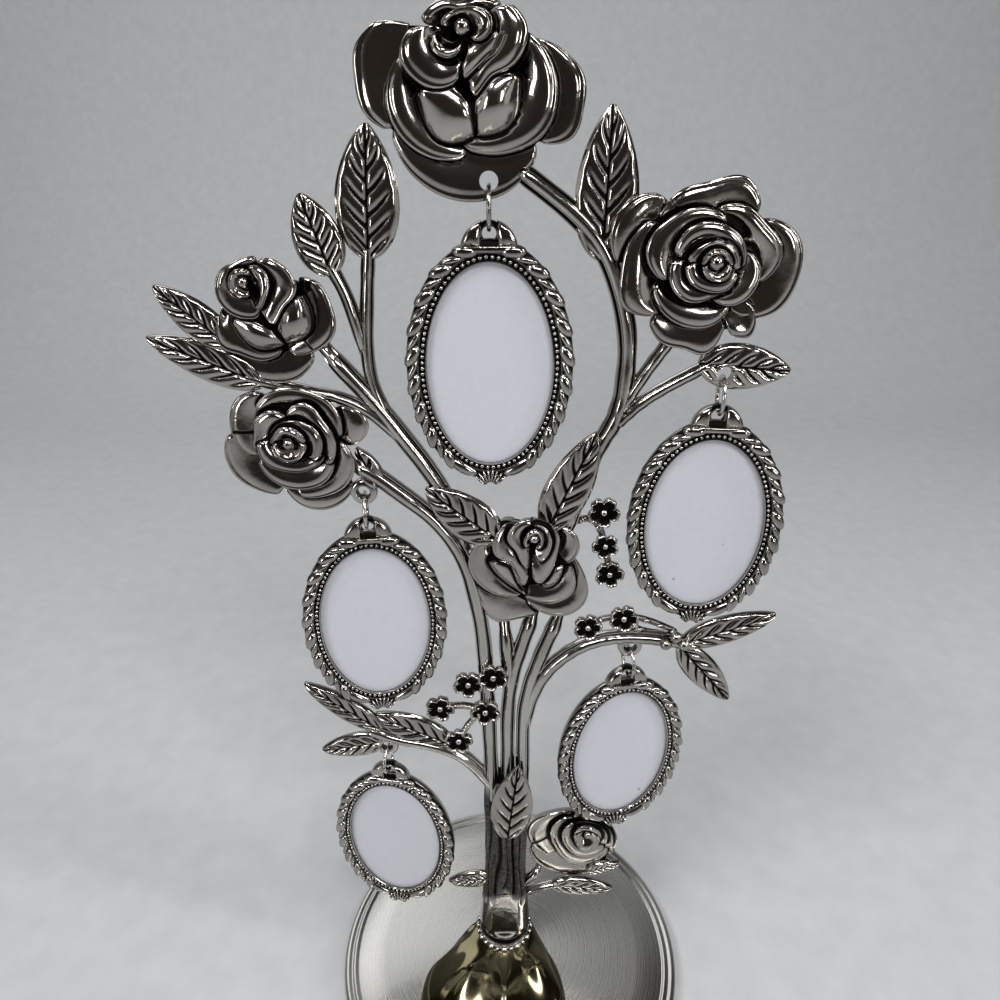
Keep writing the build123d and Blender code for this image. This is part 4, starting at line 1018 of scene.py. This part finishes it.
# Sprigs: twisted wire stems with small five-petalled flowers
sprigLook = {"wire": 0.95, "sides": 8, "twists": 8, "twist": (2.3, 1.5, 1.3), "twistLean": 38, "bead": 0.23,
             "berry": 1.75, "berryLift": 2.2}
wireSection = [(c, s, 0.5) for c, s in circle(sprigLook["sides"])]
sprigs = {
    "rightSprig": {"node": "right_flower_sprig", "lift": 0.7, "wireLift": -0.9,
                   "wires": [[(15.2, 182.5), (20.5, 184.5), (23.8, 180), (26, 170)]],
                   "flowers": [(23.6, 186.4, 4.6), (24.6, 176.2, 3.9), (26.3, 167.4, 4.3)], "berries": []},
    "archSprig": {"node": "arch_flower_sprig", "lift": 0.8, "wireLift": -0.9,
                  "wires": [[(20.5, 144), (21.5, 150.5), (31.3, 153.0), (39, 151.2), (46, 147.6)],
                            [(31.3, 152.4), (35.5, 147.8), (43.4, 146.4)]],
                  "flowers": [(21.3, 149.8, 4.4), (31.3, 152.8, 4.5)],
                  "berries": [(46.2, 147.4), (43.6, 145.0), (48.8, 144.8)]},
    "leftSprig": {"node": "left_flower_sprig", "lift": 2.9, "wireLift": 1.9,
                  "wires": [[(-18.6, 122.2), (-14.5, 122.6), (-10.5, 121.6)],
                            [(-14.8, 111.6), (-13, 115.5), (-10, 119)]],
                  "flowers": [(-21.4, 122.0, 4.7), (-8.0, 120.6, 4.8), (-16.2, 109.2, 4.7), (-12.9, 131.0, 4.7),
                              (-5.6, 133.6, 4.8)], "berries": []},
}
for name, sprig in sprigs.items():
    stem, heads, twists = newShape(), [], []
    for corners in sprig["wires"]:
        addBar(stem, corners, sprigLook["wire"], sprig["wireLift"], wireSection)
        twists.append(([(x, -sprig["wireLift"] - 0.1, z) for x, z, *along in bentPath(corners)], False, 1.0))
    for x, z, radius in sprig["flowers"]:
        y, turn = 0.3 - sprig["lift"], x + 1.3  # each flower is turned its own way
        heads.append(([(x, y, z), (x + cos(turn), y, z + sin(turn))], False, radius))
        addBall(stem, x, -0.2 - sprig["lift"], z, sprigLook["bead"] * radius)
    for x, z in sprig["berries"]:
        addBall(stem, x, -sprigLook["berryLift"], z, sprigLook["berry"])
    makePiece(name + "Wire", stem, flowerSilverShaded, "stand", [sprig["node"]])
    beadRow(name + "Twist", twists, lobeBead, sprigLook["twists"], flowerSilverShaded, "stand", "flower_silver",
            lean=sprigLook["twistLean"], broad=sprigLook["twist"])
    beadRow(name + "Petals", heads, flowerBead, 1, flowerSilverShaded, "stand", "flower_silver")
print("sprigs made")


# Hanging frames: rope border, pearl channel, lug and shell
frameLook = {
    "openX": 15.0, "openZ": 24.5, "holeDrop": 41.209, "steps": 120,
    "border": [  # distance out from the opening, forwards, patina
        (0.0, 0.62, 0.7), (0.0, 1.2, 0.3), (0.16, 1.5, 0), (0.40, 1.46, 0.2), (0.52, 0.95, 1), (1.72, 0.95, 1),
        (1.84, 1.3, 0.9), (2.1, 1.42, 0.5), (2.9, 1.35, 1), (4.0, 1.1, 1), (4.75, 0.6, 0.8), (5.0, 0.0, 0.3),
        (4.95, -0.9, 0.1), (4.7, -1.6, 0), (4.3, -1.8, 0), (1.6, -1.8, 0.1), (1.5, -1.7, 0.2), (1.5, 0.62, 0.6)],
    "pearlOut": 1.12, "pearlUp": 1.15, "pearlSize": 1.12, "pearls": 94,
    "ropeOut": 3.45, "ropeUp": 0.5, "ropeLean": 27, "ropeStart": 17, "ropeEnd": 34, "ropeSteps": 60, "lobes": 17,
    "broad": (6.2, 3.1, 2.0), "narrow": (5.9, 1.7, 1.75),
    "crescent": [  # long plain lobe beside the shell: across, height, patina
        (-1, -0.5, 0.8), (-1, 0.3, 0.6), (-0.7, 0.75, 0), (-0.3, 0.97, 0), (0.3, 0.97, 0), (0.7, 0.75, 0),
        (1, 0.3, 0.5), (1, -0.5, 0.8)],
    "crescentStart": 36, "crescentEnd": 9, "crescentSteps": 16, "crescentWide": 1.55, "crescentUp": (0.6, 1.6),
    "lugRadius": 6.5, "lugMiddle": 27.0, "lugFoot": 27.6, "lugHole": 30.4, "lugSteps": 9, "notch": 1.75,
    "dome": [  # size, height, patina
        (0.95, -1.2, 0.2), (1.0, -0.9, 0.1), (1.0, 0.3, 0.4), (0.97, 0.75, 0), (0.88, 1.15, 0), (0.72, 1.45, 0),
        (0.5, 1.65, 0), (0.25, 1.75, 0)],
    "sillLow": 26.6, "sillHigh": 28.0, "sillHalf": 5.9,
    "sill": [(0.98, -1.0, 0.3), (1.0, 1.1, 0.2), (0.99, 1.6, 0), (0.93, 1.95, 0), (0.8, 2.15, 0), (0.55, 2.22, 0)],
    "eye": [  # radius, forwards, patina
        (1.65, -1.8, 1), (1.65, 0.1, 1), (1.75, 0.3, 0), (2.0, 0.3, 0), (2.15, 0.0, 1), (2.9, 0.0, 1),
        (2.9, -1.8, 0.5)],
    "shellHub": -31.2, "shellReach": 3.3, "shellUp": 0.7, "shellSpread": 50, "ribs": 8, "rib": (4.0, 0.95, 1.7),
    "filmOut": 1.35, "film": (0.45, 0.60), "filmSides": 60,  # film: its back and front
}


def frameSpot(hung, across, up, forward):
    holeX, holeZ, turn = hangPoints[hung]
    c, s = cos(radians(turn)), sin(radians(turn))
    return holeX + across * c + forward * s, across * s - forward * c, holeZ - frameLook["holeDrop"] + up


def ovalSpot(hung, out, angle, forward):  # on the oval that lies this far out from the opening
    return frameSpot(hung, (frameLook["openX"] + out) * cos(angle), (frameLook["openZ"] + out) * sin(angle), forward)


def ringPath(hung, out, forward, start, end, count):
    return [ovalSpot(hung, out, radians(between(start, end, k / (count - 1))), forward) for k in range(count)]


def ropePath(hung, look, side):  # down one side, from the lug to the shell
    start, end = look["ropeStart"], 180 - look["ropeEnd"]
    return ringPath(hung, look["ropeOut"], look["ropeUp"], 90 - side * start, 90 - side * end, look["ropeSteps"])


def shellPath(hung, look):
    turns = [radians(a) for a in range(-look["shellSpread"], look["shellSpread"] + 1, 4)]
    reach, hub = look["shellReach"], look["shellHub"]
    return [frameSpot(hung, reach * sin(turn), hub + reach * cos(turn), look["shellUp"]) for turn in turns]


def addStack(shape, hung, outline, levels):  # an outline raised in steps of size, height and patina
    midX, midZ = (sum(c) / len(outline) for c in zip(*outline))
    addTube(shape, [[(*frameSpot(hung, between(midX, x, grow), between(midZ, z, grow), up), dark) for x, z in outline]
                    for grow, up, dark in levels])


def addCrescent(shape, hung, look, side):
    loops, steps = [], look["crescentSteps"]
    base, tall = look["crescentUp"]
    for k in range(1, steps):
        turn = radians(-90 + side * between(look["crescentStart"], look["crescentEnd"], k / steps))
        grow = sin(pi * k / steps) ** 0.5
        wide, high = look["crescentWide"] * grow, tall * grow
        loops.append([(*ovalSpot(hung, look["ropeOut"] + wide * q, turn, base + high * up), dark)
                      for q, up, dark in look["crescent"]])
    addTube(shape, loops)


def lugHalf(look, side):
    radius, middle, foot, notch = look["lugRadius"], look["lugMiddle"], look["lugFoot"], look["notch"]
    first, last = acos(notch / radius), asin((foot - middle) / radius)
    turns = [between(first, last, k / look["lugSteps"]) for k in range(look["lugSteps"] + 1)]
    arc = [(side * radius * cos(turn), middle + radius * sin(turn)) for turn in turns]
    return arc + [(side * x, z) for x, z in ((4.6, foot), (3.2, foot), (notch, foot), (notch, foot + 2.0))]


def frameBorder(hung, look):
    border = newShape()
    turns = [tau * k / look["steps"] for k in range(look["steps"])]
    addTube(border, [[(*ovalSpot(hung, out, turn, up), dark) for out, up, dark in look["border"]]
                     for turn in turns], wrap=True)
    for side in (1, -1):
        addStack(border, hung, lugHalf(look, side), look["dome"])
    sill = [(look["sillHalf"] * t, look["sillLow"]) for t in (-1, -0.5, 0, 0.5, 1)]
    sill += [(look["sillHalf"] * t, look["sillHigh"]) for t in (0.96, 0.5, 0, -0.5, -0.96)]
    addStack(border, hung, sill, look["sill"])
    addTube(border, [[(*frameSpot(hung, r * c, look["lugHole"] + r * s, up), dark) for r, up, dark in look["eye"]]
                     for c, s in circle(eyeLook["sides"])], wrap=True)
    for side in (1, -1):
        addCrescent(border, hung, look, side)
    return border


for hung in hangPoints:
    look, body, words = frameLook, hung + "_picture", hung.split("_")
    name = words[0] + "".join(word.capitalize() for word in words[1:]) + "Frame"
    pane, turns = newShape(), [tau * k / look["filmSides"] for k in range(look["filmSides"])]
    addTube(pane, [[(*ovalSpot(hung, look["filmOut"], turn, up), 0.0) for turn in turns] for up in look["film"]])
    makePiece(name + "Film", pane, filmFinish, body, [hung + "_window"], 30)
    makePiece(name + "Border", frameBorder(hung, look), frameSilver, body, [hung + "_frame"], 45)
    turn = radians(hangPoints[hung][2])
    facing = (sin(turn), -cos(turn), 0)
    pearlPath = ringPath(hung, look["pearlOut"], look["pearlUp"], 0, 356, 90)
    rope = (lobeBead, look["lobes"])
    rows = {  # path, closed, bead, count, lean, broad and narrow
        "Pearls": (pearlPath, True, pearlBead, look["pearls"], 0, (look["pearlSize"],) * 3, None),
        "RopeRight": (ropePath(hung, look, 1), False, *rope, look["ropeLean"], look["broad"], look["narrow"]),
        "RopeLeft": (ropePath(hung, look, -1), False, *rope, -look["ropeLean"], look["broad"], look["narrow"]),
        "Shell": (shellPath(hung, look), False, lobeBead, look["ribs"], -90, look["rib"], None),
    }
    for row, (path, closed, bead, count, *sizes) in rows.items():
        beadRow(name + row, [(path, closed, 1.0)], bead, count, frameSilver, body, "frame_silver", facing, *sizes)
print("frames made")

for bead in (pearlBead, lobeBead, flowerBead):
    bpy.data.objects.remove(bead)


# Stage, light and camera
stageLook = {"half": 2.0, "near": -1.6, "bend": 0.55, "round": 0.45, "top": 1.6}
bend, curve = stageLook["bend"], stageLook["round"]
sweep = [(stageLook["near"], 0.0), (-0.5, 0.0), (0.0, 0.0), (0.3, 0.0)]
sweep += [(bend + curve * sin(radians(a)), curve * (1 - cos(radians(a)))) for a in range(0, 91, 6)]
sweep += [(bend + curve, stageLook["top"])]
stageMesh = bpy.data.meshes.new("floorSweep")
stageMesh.from_pydata(
    [(x, y, z) for y, z in sweep for x in (-stageLook["half"], stageLook["half"])], [],
    [(2 * k, 2 * k + 1, 2 * k + 3, 2 * k + 2) for k in range(len(sweep) - 1)])
stageMesh.shade_smooth()
floor = bpy.data.objects.new("floorSweep", stageMesh)
scene.collection.objects.link(floor)
stageMesh.materials.append(paleFloor(floorLook))

world = bpy.data.worlds.new("studio")
world.use_nodes = True
scene.world = world
darkRoom = {"Color": (0.038, 0.031, 0.027), "Strength": 1.0}
feed(world.node_tree, world.node_tree.nodes["Background"], darkRoom)
lamps = {  # place, aim, size, watts
    "keyBox": ((-0.55, -0.55, 1.15), (0, 0, 0.16), (0.50, 0.14), 8.5),
    "sideBox": ((0.85, -0.25, 0.70), (0, 0, 0.15), (0.10, 0.60), 4.0),
    "frontBox": ((0.25, -0.80, 1.00), (0, 0, 0.14), (0.60, 0.08), 6.5),
    "lowBox": ((-0.80, -0.75, 0.30), (0, 0, 0.20), (0.10, 0.45), 2.5),
    "lowRightBox": ((0.72, -0.90, 0.38), (0, 0, 0.20), (0.07, 0.40), 2.0),
    "leftPanel": ((-1.00, -0.35, 0.45), (0, 0, 0.18), (0.50, 0.70), 0.6),
    "rightPanel": ((1.00, -0.55, 0.20), (0, 0, 0.18), (0.40, 0.50), 0.35),
    "topStrip": ((0.02, -0.14, 1.20), (0, 0, 0.02), (0.08, 0.34), 2.2),
    "rearBox": ((-0.48, 0.74, 1.00), (0, 0, 0.10), (1.00, 0.50), 2.6),
}
for name, (spot, aim, size, watts) in lamps.items():
    lamp = bpy.data.lights.new(name, "AREA")
    lamp.shape, lamp.energy = "RECTANGLE", watts
    lamp.size, lamp.size_y = size
    holder = bpy.data.objects.new(name, lamp)
    holder.location = spot
    holder.rotation_euler = (Vector(aim) - Vector(spot)).to_track_quat("-Z", "Y").to_euler()
    holder.visible_camera = False
    scene.collection.objects.link(holder)

cameraLook = {"lens": 27.0, "sensor": 36.0, "near": 0.01, "spot": (-0.00358, -0.1753, 0.2765), "tilt": 63.65}
cameraData = bpy.data.cameras.new("photoView")
cameraData.lens, cameraData.sensor_width = cameraLook["lens"], cameraLook["sensor"]
cameraData.clip_start = cameraLook["near"]
camera = bpy.data.objects.new("photoView", cameraData)
camera.location = cameraLook["spot"]
camera.rotation_euler = (radians(cameraLook["tilt"]), 0, 0)
scene.collection.objects.link(camera)
scene.camera = camera
print("stage, light and camera set")
